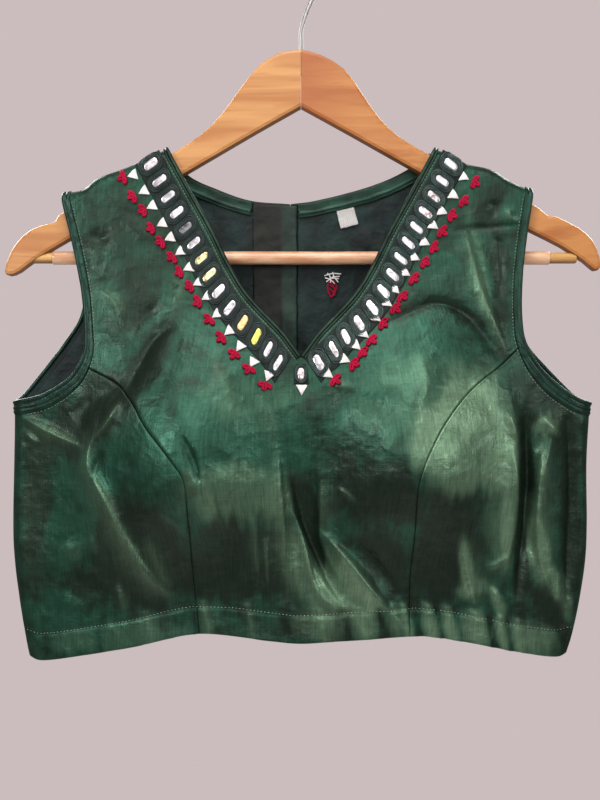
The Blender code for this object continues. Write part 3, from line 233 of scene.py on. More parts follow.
# Short gathers across the turned hem: place along X, rise and half width.
GATHER_GAIN, GATHER_SLANT = 2.1, 0.2
GATHER_MIDDLE, GATHER_HALF_HIGH, GATHER_FADE = 11.0, 9.0, 4.0
HEM_GATHERS = {"front": [
    (-190, -0.4, 4), (-150, -0.3, 3.5), (-112, 0.4, 4), (-79, -0.7, 1.8), (-70, 0.6, 3), (-38, 0.4, 3),
    (-12, -0.4, 3), (14, 0.5, 4), (31, -0.5, 3.2), (43, 0.7, 4), (56, -0.6, 2.6), (66, 0.6, 3),
    (74, 0.8, 3), (82, -1.1, 3), (91, 1, 4), (99, -1.1, 1.6), (106, 0.9, 3.6), (113, -0.6, 2.2),
    (126, 1, 6), (137.5, -1.4, 3), (145, 1.1, 2.8), (151, -1, 2), (158, 0.9, 3.4), (168, 0.5, 4),
    (179, 0.5, 5), (194, -0.8, 4),
], "back": [(x, 0.5 * (-1) ** k, 2.6 + k % 3) for k, x in enumerate(range(-185, 190, 17))]}

# ---- painted light and shade on the shot cloth
# Soft ovals of painted light and shade: middle, half length, half width, turn in degrees, teal and pale.
# Teal above 0 paints a lighter teal sheen and below 0 painted shade toward the dark warp; pale is a
# painted straw highlight. Besides, troughs get painted shade and crests a painted highlight.
TROUGH_PAINTED_SHADE, CREST_PAINTED_HIGHLIGHT, GATHER_PAINTED_LIGHT = 0.34, 0.22, 4.0
PAINTED_LIGHT_PATCHES = {"front": [
    (-55, -368, 61, 35, 0, 0.9, 0), (-43, -405, 40, 20, 0, 0, 0.55), (-158, -411, 54, 20, 65, 0.8, 0),
    (-163, -362, 38, 19, 10, -1, 0), (-195, -420, 60, 10, 90, -0.8, 0.08),
    (-116, -451, 45, 27, -75, -1, 0), (-167, -492, 35, 14, 0, 0.9, 0),
    (-131, -511, 62, 10, 7, 0.9, 0.25), (-48, -459, 43, 29, 0, -1, 0),
    (5, -463, 32, 16, -70, -0.2, 0.5), (8, -411, 14, 12, 0, -0.7, 0), (51, -405, 32, 23, 0, -0.9, 0),
    (116, -368, 36, 36, 0, 0.3, 0.9), (79, -335, 43, 32, 0, 0.6, 0.15), (71, -299, 43, 18, 20, 0.5, 0),
    (106, -443, 43, 22, 90, -1, 0), (161, -425, 61, 6, 90, -1, 0), (180, -358, 10, 6, 30, 0.1, 0.75),
    (172, -385, 18, 6, -82, 0, 0.3), (197, -415, 61, 6, 90, -1, 0), (173, -449, 20, 8, -80, 0.5, 0.75),
    (168, -424, 22, 5, -85, 0.3, 0.75), (145, -430, 32, 11, -85, 0.5, 0.3),
    (-131, -225, 43, 36, 0, -0.45, 0), (-111, -311, 30, 9, 65, -1.1, 0),
    (-122, -275, 17, 12, 60, -0.9, 0), (-142, -334, 22, 12, 20, -1, 0),
    (-48, -304, 36, 20, -30, 0.35, 0), (-33, -339, 36, 16, 0, 0.4, 0.15),
    (138, -194, 20, 10, 90, -0.8, 0), (146, -259, 43, 6, 90, -0.9, 0),
    (131, -248, 43, 5, -80, 0.8, 0.35), (183, -337, 25, 13, -30, -1, 0), (93, -500, 26, 8, 0, 0.9, 0.1),
    (158, -511, 36, 9, -8, 0.2, 0.4), (100, -506, 28, 9, -4, 0.3, 0.25),
    (34, -476, 28, 13, -48, -0.1, 0.75), (148, -432, 24, 3.5, -88, 0.6, 0.7),
    (186, -472, 12, 3.5, -80, 0.3, 0.7), (66, -463, 28, 12, -50, -0.9, 0),
    (-147, -219, 12, 6, 0, -0.9, 0), (119, -460, 19, 4.5, -83, 0.5, 0.75),
    (124, -477, 11, 6, 10, 0.4, 0.6), (143, -487, 13, 4, -65, 0.5, 0.7), (180, -487, 20, 9, -60, -1, 0),
    (195, -484, 18, 5, -85, 0.4, 0.5), (128, -507, 50, 9, -7, 0.8, 0.3), (202, -452, 25, 5, 90, -1, 0),
    (122, -337, 22, 22, 0, 0.1, 0.45), (-131, -194, 29, 19, 0, 0.1, 0),
    (21, -501, 36, 10, 0, -0.4, 0.3), (-145, -476, 22, 19, 0, -0.8, 0),
], "back": [
    (-110, -230, 50, 25, 10, 0.3, 0), (105, -232, 50, 25, -10, 0.4, 0.1),
    (-60, -300, 60, 20, 20, -0.6, 0), (70, -320, 55, 20, -25, -0.5, 0),
    (-130, -380, 50, 30, 60, 0.7, 0.15), (125, -390, 50, 30, -60, 0.6, 0.35),
    (-30, -420, 60, 22, 90, 0.5, 0), (60, -450, 40, 20, 90, -0.9, 0), (-95, -470, 40, 18, 80, -0.9, 0),
    (-170, -470, 40, 16, 80, 0.4, 0.25), (165, -460, 45, 14, 90, -0.7, 0),
    (20, -505, 60, 10, 0, 0.6, 0.1), (140, -512, 45, 10, 0, 0.3, 0.3),
]}


# ==== curves and tables
def smooth(values, per_span=12):
    """Catmull-Rom through rows of numbers, as a dense array."""
    rows = np.array(values, dtype=float)
    padded = np.vstack([2 * rows[0] - rows[1], rows, 2 * rows[-1] - rows[-2]])
    out = [rows[0]]
    for i in range(1, len(padded) - 2):
        p0, p1, p2, p3 = padded[i - 1 : i + 3]
        for step in range(1, per_span + 1):
            u = step / per_span
            squared = (2 * p0 - 5 * p1 + 4 * p2 - p3) * u**2
            cubed = (3 * p1 - p0 - 3 * p2 + p3) * u**3
            out.append(0.5 * (2 * p1 + (p2 - p0) * u + squared + cubed))
    return np.array(out)


class Edge:
    """A smooth line in the X-Z plane, read by arc length, height or width; takes arrays."""

    def __init__(self, dense):
        self.line = dense
        steps = np.hypot(*np.diff(self.line, axis=0).T)
        self.run = np.concatenate([[0.0], np.cumsum(steps)])
        self.length = float(self.run[-1])
        self.by_x = self.line[np.argsort(self.line[:, 0], kind="stable")]
        self.by_z = self.line[np.argsort(self.line[:, 1], kind="stable")]

    def at(self, run):
        return np.interp(run, self.run, self.line[:, 0]), np.interp(run, self.run, self.line[:, 1])

    def x_at(self, z):
        return np.interp(z, self.by_z[:, 1], self.by_z[:, 0])

    def z_at(self, x):
        return np.interp(x, self.by_x[:, 0], self.by_x[:, 1])

    def run_at(self, z):
        order = np.argsort(self.line[:, 1])
        return float(np.interp(z, self.line[order, 1], self.run[order]))

    def direction(self, run, reach=4.0):
        ax, az = self.at(np.maximum(run - reach, 0.0))
        bx, bz = self.at(np.minimum(run + reach, self.length))
        size = np.hypot(bx - ax, bz - az)
        return (bx - ax) / size, (bz - az) / size

    def moved(self, distance):
        """The same line, moved square to itself: to +X where it runs down."""
        way = np.gradient(self.line, axis=0)
        way /= np.hypot(way[:, 0], way[:, 1])[:, None]
        return Edge(self.line + distance * np.stack([-way[:, 1], way[:, 0]], axis=1))

    def then(self, other):
        return Edge(np.vstack([self.line, other.line[1:]]))

    def above(self, z_low):
        keep = self.line[:, 1] > z_low
        return Edge(np.vstack([self.line[keep], [[self.x_at(z_low), z_low]]]))


def ease(part):
    part = np.clip(part, 0.0, 1.0)
    return part * part * (3 - 2 * part)


def lerp(a, b, part):
    return a + (b - a) * part


def quarter(part):
    """Height of a quarter circle: 0 at its foot, 1 from part 1 on."""
    return np.sqrt(np.clip(1 - (1 - np.clip(part, 0, 1)) ** 2, 0, 1))


def bell(distance):
    return np.exp(-(distance**2))


EDGES = {label: {name: Edge(smooth(runs[name])) for name in SIDES} for label, runs in EDGE_RUNS.items()}
EDGES["neck"] = {name: Edge(smooth([(sign * x, z) for x, z in NECK_FRONT])) for name, sign in SIDES.items()}
HEM = {face: Edge(smooth(run)) for face, run in HEM_RUNS.items()}
DEPTH_ROWS = {face: smooth(rows)[::-1] for face, rows in DEPTHS.items()}
CREASE_LINES = {face: [Edge(smooth(row[0], per_span=4)) for row in rows] for face, rows in CREASES.items()}


def value_noise(x, z, size, seed):
    """Smooth random heights from -1 to 1, with bumps about size apart."""
    cells = 64
    lattice = np.random.default_rng(seed).uniform(-1, 1, (cells, cells))
    u, v = np.asarray(x) / size + 100, np.asarray(z) / size + 100
    i, j = np.floor(u).astype(int), np.floor(v).astype(int)
    fu, fv = ease(u - i), ease(v - j)
    i, j, i_next, j_next = i % cells, j % cells, (i + 1) % cells, (j + 1) % cells
    low = lerp(lattice[i, j], lattice[i_next, j], fu)
    high = lerp(lattice[i, j_next], lattice[i_next, j_next], fu)
    return lerp(low, high, fv)


# ==== the cloth surface
def side_distance(x, z):
    """How far inside the side seam a place is."""
    left = -EDGES["side"]["left"].x_at(z)
    right = EDGES["side"]["right"].x_at(z)
    return np.where(x < 0, left, right) - np.abs(x)


def shoulder_drop(x, z):
    """How far below the shoulder line a place is; inside the neck the line runs on at its first slope."""
    drops = []
    for line in EDGES["shoulder"].values():
        neck_x, neck_z = line.at(0.0)
        way_x, way_z = line.direction(0.0)
        inside = neck_z + (abs(neck_x) - np.abs(x)) * abs(way_z / way_x)
        drops.append(np.where(np.abs(x) >= abs(neck_x), line.z_at(x), inside) - z)
    return np.where(x < 0, drops[0], drops[1])


def fold_rise(face, x, z):
    rise = np.zeros_like(x)
    for x0, z0, x1, z1, half_width, high in FOLDS[face]:
        run_x, run_z = x1 - x0, z1 - z0
        length = hypot(run_x, run_z)
        along = ((x - x0) * run_x + (z - z0) * run_z) / length**2
        off = ((x - x0) * run_z - (z - z0) * run_x) / length
        fade = bell(np.maximum(np.abs(along - 0.5) - FOLD_REACH, 0.0) / FOLD_FADE)
        rise += high * bell(off / half_width) * fade
    return rise


def crease_rises(face, x, z):
    """Rise of each bent crease in turn; it narrows and sinks toward both its ends."""
    for (_, high, left, right), line in zip(CREASES[face], CREASE_LINES[face]):
        rise = np.zeros_like(x)
        reach = CREASE_REACH * max(left, right)
        (low_x, low_z), (high_x, high_z) = line.line.min(axis=0) - reach, line.line.max(axis=0) + reach
        near = (x > low_x) & (x < high_x) & (z > low_z) & (z < high_z)
        if not near.any():
            yield rise
            continue
        px, pz = x[near], z[near]
        best = np.full(px.shape, np.inf)
        off, along = np.zeros_like(px), np.zeros_like(px)
        for (ax, az), (bx, bz), start in zip(line.line, line.line[1:], line.run):
            run_x, run_z = bx - ax, bz - az
            length = hypot(run_x, run_z)
            part = np.clip(((px - ax) * run_x + (pz - az) * run_z) / length**2, 0, 1)
            dx, dz = px - ax - part * run_x, pz - az - part * run_z
            distance = np.hypot(dx, dz)
            closer = distance < best
            best = np.where(closer, distance, best)
            off = np.where(closer, distance * np.sign(dx * run_z - dz * run_x), off)
            along = np.where(closer, (start + part * length) / line.length, along)
        taper = np.sin(pi * np.clip(along, 0.02, 0.98)) ** 0.7
        width = np.where(off > 0, left, right) * lerp(0.6, 1.0, taper)
        rise[near] = high * taper * np.exp(-(np.abs(off / width) ** CREASE_POWER))
        yield rise


def seam_rise(face, x, z):
    """The groove along a princess seam, with the pressed allowance raised beside it."""
    rise = np.zeros_like(x)
    if face != "front":
        return rise
    for name, sign in SIDES.items():
        line = EDGES["princess"][name]
        start_x, top = line.line[0]
        off = (line.x_at(z) - x) * sign
        beyond = np.where(z > top, np.hypot(x - start_x, z - top), np.abs(off) * SEAM_SLANT)
        rise -= SEAM_DIP * bell(beyond / SEAM_HALF_WIDTH)
        rise += SEAM_RIDGE * (z < top) * bell((off - SEAM_RIDGE_OFF) / SEAM_RIDGE_HALF_WIDTH)
    return rise


def gather_rise(face, x, z):
    """Short gathers across the turned hem."""
    height = z - HEM[face].z_at(x)
    band = bell(np.maximum(np.abs(height - GATHER_MIDDLE) - GATHER_HALF_HIGH, 0.0) / GATHER_FADE)
    rise = 0.0
    for place, high, half_width in HEM_GATHERS[face]:
        slant = place - (height - HEM_TURN) * GATHER_SLANT
        rise = rise + high * band * np.exp(-(np.abs((x - slant) / half_width) ** CREASE_POWER))
    return rise


def hem_rise(face, x, z):
    """The hem's stitch line draws the cloth in."""
    height = z - HEM[face].z_at(x)
    return GATHER_GAIN * gather_rise(face, x, z) - STITCH_DIP * bell((height - HEM_TURN) / STITCH_HALF_WIDTH)


def crumple(face, x, z):
    """Small soft creasing all over, flatter at the shoulders and along the neck band."""
    seed = 3 if face == "front" else 31
    rise = 0.55 * value_noise(x, z * 1.3, 26, seed)
    rise += 0.32 * value_noise(x + 0.4 * z, z, 12, seed + 1)
    rise -= 0.45 * np.abs(value_noise(x - 0.5 * z, z * 1.2, 17, seed + 2)) ** 0.8
    rise += 0.10 * value_noise(x, z * 1.6, 5.2, seed + 3)
    return rise * ease((shoulder_drop(x, z) - 4) / 26)


def stand_off(face, x, z):
    """Distance of the cloth's outer face from the side-seam plane."""
    x, z = np.broadcast_arrays(np.asarray(x, dtype=float), np.asarray(z, dtype=float))
    rows = DEPTH_ROWS[face]
    mid, edge = np.interp(z, rows[:, 0], rows[:, 1]), np.interp(z, rows[:, 0], rows[:, 2])
    inside = side_distance(x, z)
    half_width = inside + np.abs(x)
    depth = edge + (mid - edge) * (1 - np.clip(np.abs(x) / half_width, 0, 1) ** SIDE_POWER)
    if face == "front":
        for cup_x, cup_z, cup_depth, cup_half, above, below in CUPS:
            reach = np.where(z > cup_z, above, below)
            depth = depth + cup_depth * np.exp(-(((x - cup_x) / cup_half) ** 2) - ((z - cup_z) / reach) ** 2)
    depth = depth + fold_rise(face, x, z) + seam_rise(face, x, z) + hem_rise(face, x, z)
    depth = depth + crumple(face, x, z)
    for rise in crease_rises(face, x, z):
        depth = depth + CREASE_GAIN * rise
    depth = depth * quarter(inside / SIDE_RADIUS)
    return depth * quarter(shoulder_drop(x, z) / SHOULDER_RADIUS)


def cloth_frame(face, x, z):
    """The cloth's outer face at places, as rows of (x, y, z), and its unit normal there."""
    out = FACES[face]
    x, z = (a.astype(float) for a in np.broadcast_arrays(x, z))
    step = SLOPE_STEP
    at_side, at_top = side_distance(x, z) < step, shoulder_drop(x, z) < step
    sx = np.where(at_side, x - np.sign(x) * step, x)
    sz = np.where(at_top, z - step, z)
    slope_x = (stand_off(face, sx + step, sz) - stand_off(face, sx - step, sz)) / (2 * step)
    slope_z = (stand_off(face, sx, sz + step) - stand_off(face, sx, sz - step)) / (2 * step)
    slope_x = np.where(at_side, -np.sign(x) * STEEP, slope_x)
    slope_z = np.where(at_top, -STEEP, slope_z)
    normal = np.stack([-slope_x, np.full_like(x, out), -slope_z], axis=-1)
    normal /= np.linalg.norm(normal, axis=-1)[..., None]
    return np.stack([x, out * stand_off(face, x, z), z], axis=-1), normal


def moved_in(face, surface, inward):
    """Points of a surface frame moved inward, kept on their own side of the seams' plane."""
    out = FACES[face]
    points = surface[0] - surface[1] * np.asarray(inward, dtype=float)[..., None]
    points[..., 1] = out * np.maximum(out * points[..., 1], GAP / 2)
    return points


def cloth_points(face, x, z, inward=0.0):
    return moved_in(face, cloth_frame(face, x, z), inward)


def painted_light_at(face, x, z):
    """Painted shade, sheen and highlight of the shot cloth at a place; the patches' borders run in streaks.
    """
    crest = sum(crease_rises(face, x, z)) + GATHER_PAINTED_LIGHT * gather_rise(face, x, z)
    # Troughs get painted shade.
    teal = TROUGH_PAINTED_SHADE * np.minimum(crest, 0.0)
    # Crests get a painted straw highlight, and troughs less of it.
    pale = CREST_PAINTED_HIGHLIGHT * np.clip(crest, -2.5, 2.5)
    streak = 7 * value_noise(x, z * 0.1, 6.0, 53) + 4 * value_noise(x, z * 0.12, 2.6, 54)
    bend_x = 5 * value_noise(x, z, 22, 51) + 2.5 * value_noise(x, z, 8, 55)
    bend_z = 5 * value_noise(x, z, 22, 52) + streak
    for shade_x, shade_z, long, wide, turn, painted_teal, painted_highlight in PAINTED_LIGHT_PATCHES[face]:
        turn = radians(turn)
        loose = min(1.0, wide / 18)
        dx, dz = x - shade_x + loose * bend_x, z - shade_z + loose * bend_z
        along = (dx * cos(turn) + dz * sin(turn)) / long
        across = (dz * cos(turn) - dx * sin(turn)) / wide
        crisp = max(6.0, wide / 2.6)
        inside = 1 / (1 + np.exp(np.minimum((np.hypot(along, across) - 1) * crisp, 60)))
        teal = teal + painted_teal * inside
        pale = pale + painted_highlight * inside
    return teal, pale


# ==== meshes
def new_object(name, data):
    made = bpy.data.objects.new(name, data)
    bpy.context.scene.collection.objects.link(made)
    return made


def add_values(mesh, label, data, kind="FLOAT", slot="value"):
    """An attribute with one value or way for each point."""
    attribute = mesh.attributes.new(label, kind, "POINT")
    attribute.data.foreach_set(slot, np.asarray(data, dtype=np.float32).ravel())


def new_piece(name, points, faces, materials, face_material=None, uv=None, values=None, merge=None):
    """A piece from points in millimetres, smooth shaded, with its faces turned outward."""
    mesh = bpy.data.meshes.new(name)
    mesh.from_pydata(np.asarray(points) * MM, [], faces)
    for finish in materials:
        mesh.materials.append(finish)
    if face_material is not None:
        mesh.polygons.foreach_set("material_index", np.asarray(face_material, dtype=np.int32))
    if uv is not None:
        corner = np.zeros(len(mesh.loops), dtype=np.int32)
        mesh.loops.foreach_get("vertex_index", corner)
        layer = mesh.uv_layers.new(name="cut")
        layer.data.foreach_set("uv", (np.asarray(uv)[corner] * MM).astype(np.float32).ravel())
    for label, data in (values or {}).items():
        add_values(mesh, label, data)
    turn_outward(mesh)
    mesh.shade_smooth()
    if merge:
        turn_outward(mesh, merge)
    return new_object(name, mesh)


def turn_outward(mesh, merge=None):
    """Drops loose points and turns the faces outward; a merge distance also joins grids that meet."""
    work = bmesh.new()
    work.from_mesh(mesh)
    loose = [v for v in work.verts if not v.link_faces]
    bmesh.ops.delete(work, geom=loose, context="VERTS")
    if merge:
        bmesh.ops.remove_doubles(work, verts=work.verts, dist=merge)
        bmesh.ops.holes_fill(work, edges=[e for e in work.edges if e.is_boundary], sides=8)
        bmesh.ops.recalc_face_normals(work, faces=work.faces)
    if work.calc_volume(signed=True) < 0:
        bmesh.ops.reverse_faces(work, faces=work.faces)
    work.to_mesh(mesh)
    work.free()


def rim_of(rows, cols):
    """Row and column of each place round a grid's border, in order."""
    around = [(0, c) for c in range(cols)]
    around += [(r, cols - 1) for r in range(1, rows)]
    around += [(rows - 1, c) for c in range(cols - 2, -1, -1)]
    around += [(r, 0) for r in range(rows - 2, 0, -1)]
    return np.array(around)


RIM_BULGE = 0.12


class Wall:
    """Gathers grids of outer and inner points into one closed wall with a rounded rim."""

    def __init__(self):
        self.points, self.faces, self.kinds = [], [], []
        self.uv, self.teal, self.pale = [], [], []
        self.count = 0

    def add(self, outer, inner, uv, shades=None, open_rim=None):
        rows, cols = outer.shape[:2]
        first, size = self.count, rows * cols
        index = np.arange(size).reshape(rows, cols)
        corners = [index[:-1, :-1], index[:-1, 1:], index[1:, 1:], index[1:, :-1]]
        quads = np.stack(corners, axis=-1).reshape(-1, 4)
        around = rim_of(rows, cols)
        r, c = around.T
        edge_out, edge_in = outer[r, c], inner[r, c]
        next_r, next_c = np.clip(r, 1, rows - 2), np.clip(c, 1, cols - 2)
        away = edge_out - outer[next_r, next_c]
        away /= np.maximum(np.linalg.norm(away, axis=1), 1e-9)[:, None]
        middle = (edge_out + edge_in) / 2 + away * RIM_BULGE
        rim = index[r, c]
        n = len(rim)
        self.points += [outer.reshape(-1, 3), inner.reshape(-1, 3), middle]
        self.faces += (quads + first).tolist() + (quads[:, ::-1] + first + size).tolist()
        self.kinds += [0] * len(quads) + [1] * len(quads)
        for i in range(n):
            j = (i + 1) % n
            if open_rim is not None and open_rim(around[i]) and open_rim(around[j]):
                continue
            mid_i, mid_j = first + 2 * size + i, first + 2 * size + j
            self.faces.append([first + rim[j], first + rim[i], mid_i, mid_j])
            self.faces.append([mid_j, mid_i, first + size + rim[i], first + size + rim[j]])
            self.kinds += [0, 0]
        flat = uv.reshape(-1, 2)
        self.uv += [flat, flat, flat[rim]]
        shades = shades or (np.zeros(size), np.zeros(size))
        for kept, values in ((self.teal, shades[0]), (self.pale, shades[1])):
            values = np.asarray(values).ravel()
            kept += [values, values, values[rim]]
        self.count += 2 * size + n

    def piece(self, name, materials, merge=None):
        kinds = self.kinds if len(materials) > 1 else None
        # teal and pale carry the painted shade, sheen and highlight values; on the placket, teal marks the
        # green seam band.
        values = {"teal": np.concatenate(self.teal), "pale": np.concatenate(self.pale)}
        points, uv = np.vstack(self.points), np.vstack(self.uv)
        return new_piece(name, points, self.faces, materials, kinds, uv, values, merge)


def arc_uv(points):
    """Lengths over the cloth along a grid's rows and columns, so that a weave isn't stretched."""
    along = np.linalg.norm(np.diff(points, axis=1), axis=2)
    down = np.linalg.norm(np.diff(points, axis=0), axis=2)
    u = np.concatenate([np.zeros((points.shape[0], 1)), np.cumsum(along, axis=1)], axis=1)
    v = np.concatenate([np.zeros((1, points.shape[1])), np.cumsum(down, axis=0)], axis=0)
    return np.stack([u, -v], axis=-1)


def straight_uv(points):
    """Places of a weave that runs straight down a panel and follows it round toward the side."""
    x, y, z = np.moveaxis(points, -1, 0)
    return np.stack([x * (1 - np.abs(y) / 200), z], axis=-1)


def strip(name, finish, outer, inner, shades=None):
    """A piece that is one grid of outer and inner points."""
    wall = Wall()
    wall.add(outer, inner, arc_uv(outer), shades)
    return wall.piece(name, [finish])


def even(start, end, step):
    return np.linspace(start, end, max(2, int(round(abs(end - start) / step)) + 1))


# ==== panels
CLOTH_STEP = 1.45
HIDDEN_STEP = 2.4
TURN_STEPS = 8
HEM_ROUND = (1.6, 0.8, 0.3, 0.0)
HEM_LIP = 0.15
CENTRE_HALF_WIDTH = 84
SIDE_PANEL_WIDTH, SIDE_PANEL_LENGTH = 120.0, 195.0
BACK_WIDTH, BACK_LENGTH = 205.0, 338.0
SEAM_MERGE = 2e-6


def turn_distances(radius):
    """Distances in from an edge that cut a quarter circle into even arcs."""
    return radius * (1 - np.cos(np.linspace(0, pi / 2, TURN_STEPS + 1)))


class Panel:
    """A cut piece between an inner and an outer edge, from its top edge to its hem."""

    def __init__(self, face, inner, outer, top, hem, fade):
        self.face, self.fade = face, fade
        self.inner, self.outer, self.top, self.hem = inner, outer, top, hem

    def plan(self, s, t):
        """The X-Z places of part-way points: s from the inner edge to the outer, t from top to hem."""
        s, t = s[None, :], t[:, None]
        a, b, top_a, top_b = self.inner(t), self.outer(t), self.inner(0.0), self.outer(0.0)
        hem_a, hem_b = self.inner(1.0), self.outer(1.0)
        top, hem = self.top(s), self.hem(s)
        keep_top = 1 - ease(t / self.fade[0])
        keep_hem = ease((t - self.fade[1]) / (1 - self.fade[1]))
        place = []
        for k in (0, 1):
            off_top = keep_top * (top[k] - lerp(top_a[k], top_b[k], s))
            off_hem = keep_hem * (hem[k] - lerp(hem_a[k], hem_b[k], s))
            place.append(lerp(a[k], b[k], s) + off_top + off_hem)
        return np.broadcast_arrays(*place)

    def add_to(self, wall, s, t, open_rim=None):
        """Adds the panel's outer and inner points to a wall; the hem is thicker and its fold is rounded."""
        x, z = self.plan(s, t)
        height = z - HEM[self.face].z_at(x)
        thick = lerp(HEM_WALL, WALL, ease((height - HEM_TURN + 1) / 3))
        fold = (HEM_WALL / 2 - HEM_LIP) * (1 - quarter(np.maximum(height, 0) / (HEM_WALL / 2)))
        surface = cloth_frame(self.face, x, z)
        outer = moved_in(self.face, surface, fold)
        inner = moved_in(self.face, surface, thick - fold)
        # Each point gets its painted shade and highlight values.
        wall.add(outer, inner, straight_uv(outer), painted_light_at(self.face, x, z), open_rim)

    def piece(self, name, s, t):
        wall = Wall()
        self.add_to(wall, s, t)
        return wall.piece(name, [satin, front_lining])


def by_height(edge, z_top, z_low):
    return lambda t: (edge.x_at(lerp(z_top, z_low, t)), lerp(z_top, z_low, t) + 0 * np.asarray(t))


def hem_edge(face, x_start, x_end):
    return lambda s: (lerp(x_start, x_end, s), HEM[face].z_at(lerp(x_start, x_end, s)))


def spread(marks, step):
    """Even places from each mark to the next, without the last mark itself."""
    return np.concatenate([even(a, b, step)[:-1] for a, b in zip(marks, marks[1:])])


def panel_rows(length, knots=(), rounded_top=True, step=CLOTH_STEP):
    """Row parts, close together over the shoulder and at the hem's fold, with one at each knot."""
    start = turn_distances(SHOULDER_RADIUS) / length if rounded_top else np.array([0.0])
    end = 1 - np.array(HEM_ROUND) / length
    marks = [start[-1], *[k for k in knots if start[-1] < k < end[0]], end[0]]
    return np.concatenate([start[:-1], spread(marks, step / length), end])


def side_columns(width, step=CLOTH_STEP, start=0.0):
    turn = turn_distances(SIDE_RADIUS)[::-1] / width
    return np.concatenate([even(start, 1 - turn[0], step / width)[:-1], 1 - turn])


def front_centre_half(name, hem_z):
    """Half of the front centre: neck edge and centre line inside, armhole and princess seam outside."""
    sign = SIDES[name]
    neck, armhole, shoulder = (EDGES[k][name] for k in ("neck", "armhole_front", "shoulder"))
    inner = neck.then(Edge(np.array([[0.0, NECK_POINT_Z], [0.0, hem_z]])))
    seam = EDGES["princess"][name].moved(-sign * GAP / 2)
    corner_z, low_x, low_z = seam.line[0, 1], seam.line[-1, 0], seam.line[-1, 1]
    outer = armhole.above(corner_z).then(seam)
    top_z, arm_z = neck.line[0, 1], armhole.line[0, 1]
    panel = Panel(
        "front",
        by_height(inner, top_z, hem_z),
        by_height(outer, arm_z, low_z),
        lambda s: shoulder.at(s * shoulder.length),
        hem_edge("front", 0.0, low_x),
        fade=(0.18, 0.8),
    )
    return panel, top_z, lerp(top_z, hem_z, (corner_z - arm_z) / (low_z - arm_z))


def front_centre():
    """One piece, cut on the fold: two half grids that share their places on the centre line below the V."""
    hem_z = float(HEM["front"].z_at(0.0))
    halves = [front_centre_half(name, hem_z) for name in SIDES]
    low_corners = sorted((half[2] for half in halves if half[2] < NECK_POINT_Z), reverse=True)
    low_z = spread([NECK_POINT_Z, *low_corners, hem_z + HEM_ROUND[0]], CLOTH_STEP)
    low_z = np.concatenate([low_z, hem_z + np.array(HEM_ROUND)])
    columns = even(0.0, 1.0, CLOTH_STEP / CENTRE_HALF_WIDTH)
    wall = Wall()
    for panel, top_z, corner_z in halves:
        long = top_z - hem_z
        turn, corner = turn_distances(SHOULDER_RADIUS) / long, (top_z - corner_z) / long
        below = (top_z - low_z) / long
        marks = [turn[-1], corner, below[0]] if corner < below[0] else [turn[-1], below[0]]
        above = np.concatenate([turn[:-1], spread(marks, CLOTH_STEP / long)])
        panel.add_to(wall, columns, np.concatenate([above, below]), partial(on_centre_line, len(above)))
    return wall.piece("front_centre_cloth", [satin, front_lining], SEAM_MERGE)


def on_centre_line(first_row, place):
    return place[1] == 0 and place[0] >= first_row


def front_side(name):
    seam = EDGES["princess"][name].moved(SIDES[name] * GAP / 2)
    side, armhole = EDGES["side"][name], EDGES["armhole_front"][name]
    start_z, low = seam.line[0, 1], seam.line[-1]
    first = armhole.run_at(start_z)
    corner = side.line[-1]
    panel = Panel(
        "front",
        by_height(seam, start_z, low[1]),
        by_height(side, side.line[0, 1], corner[1]),
        lambda s: armhole.at(lerp(first, armhole.length, s)),
        hem_edge("front", low[0], corner[0]),
        fade=(0.5, 0.7),
    )
    rows = panel_rows(SIDE_PANEL_LENGTH, rounded_top=False)
    return panel.piece(f"front_side_{name}_cloth", side_columns(SIDE_PANEL_WIDTH), rows)


def back_panel(name):
    opening_x = BACK_OPENING_X + SIDES[name] * GAP / 2
    top = EDGES["neck_back"][name].then(EDGES["shoulder"][name])
    outer = EDGES["armhole_back"][name].then(EDGES["side"][name])
    neck_z, start_z = top.line[0, 1], outer.line[0, 1]
    hem_z, low = float(HEM["back"].z_at(opening_x)), outer.line[-1]

    def top_edge(s):
        x, z = top.at(s * top.length)
        return np.where(s > 0, x, opening_x), z

    panel = Panel(
        "back",
        lambda t: (opening_x + 0 * np.asarray(t), lerp(neck_z, hem_z, t)),
        by_height(outer, start_z, low[1]),
        top_edge,
        hem_edge("back", opening_x, low[0]),
        fade=(0.5, 0.7),
    )
    corner = (EDGES["side"][name].line[0, 1] - start_z) / (low[1] - start_z)
    return panel, EDGES["neck_back"][name].length / top.length, corner


def back_columns(neck_part, start=0.0, end_trim=0):
    """Column parts, close together where the neck meets the shoulder and at the side."""
    near = np.array([0.0, 1.2, 3.0, 5.0, 7.0])[::-1] / BACK_WIDTH
    first = even(start, neck_part - near[0], HIDDEN_STEP / BACK_WIDTH)[:-1]
    outer = side_columns(BACK_WIDTH, HIDDEN_STEP, neck_part)[1:]
    columns = np.concatenate([first, neck_part - near, outer])
    return columns[: len(columns) - end_trim]


def back(name):
    panel, neck_part, corner = back_panel(name)
    rows = panel_rows(BACK_LENGTH, [corner], step=HIDDEN_STEP)
    return panel.piece(f"back_{name}_cloth", back_columns(neck_part), rows)


LINING_RIGHT_EDGE_X = -2.7
LINING_TOP_DROP = 8.0
LINING_HEM_RISE = 14.0


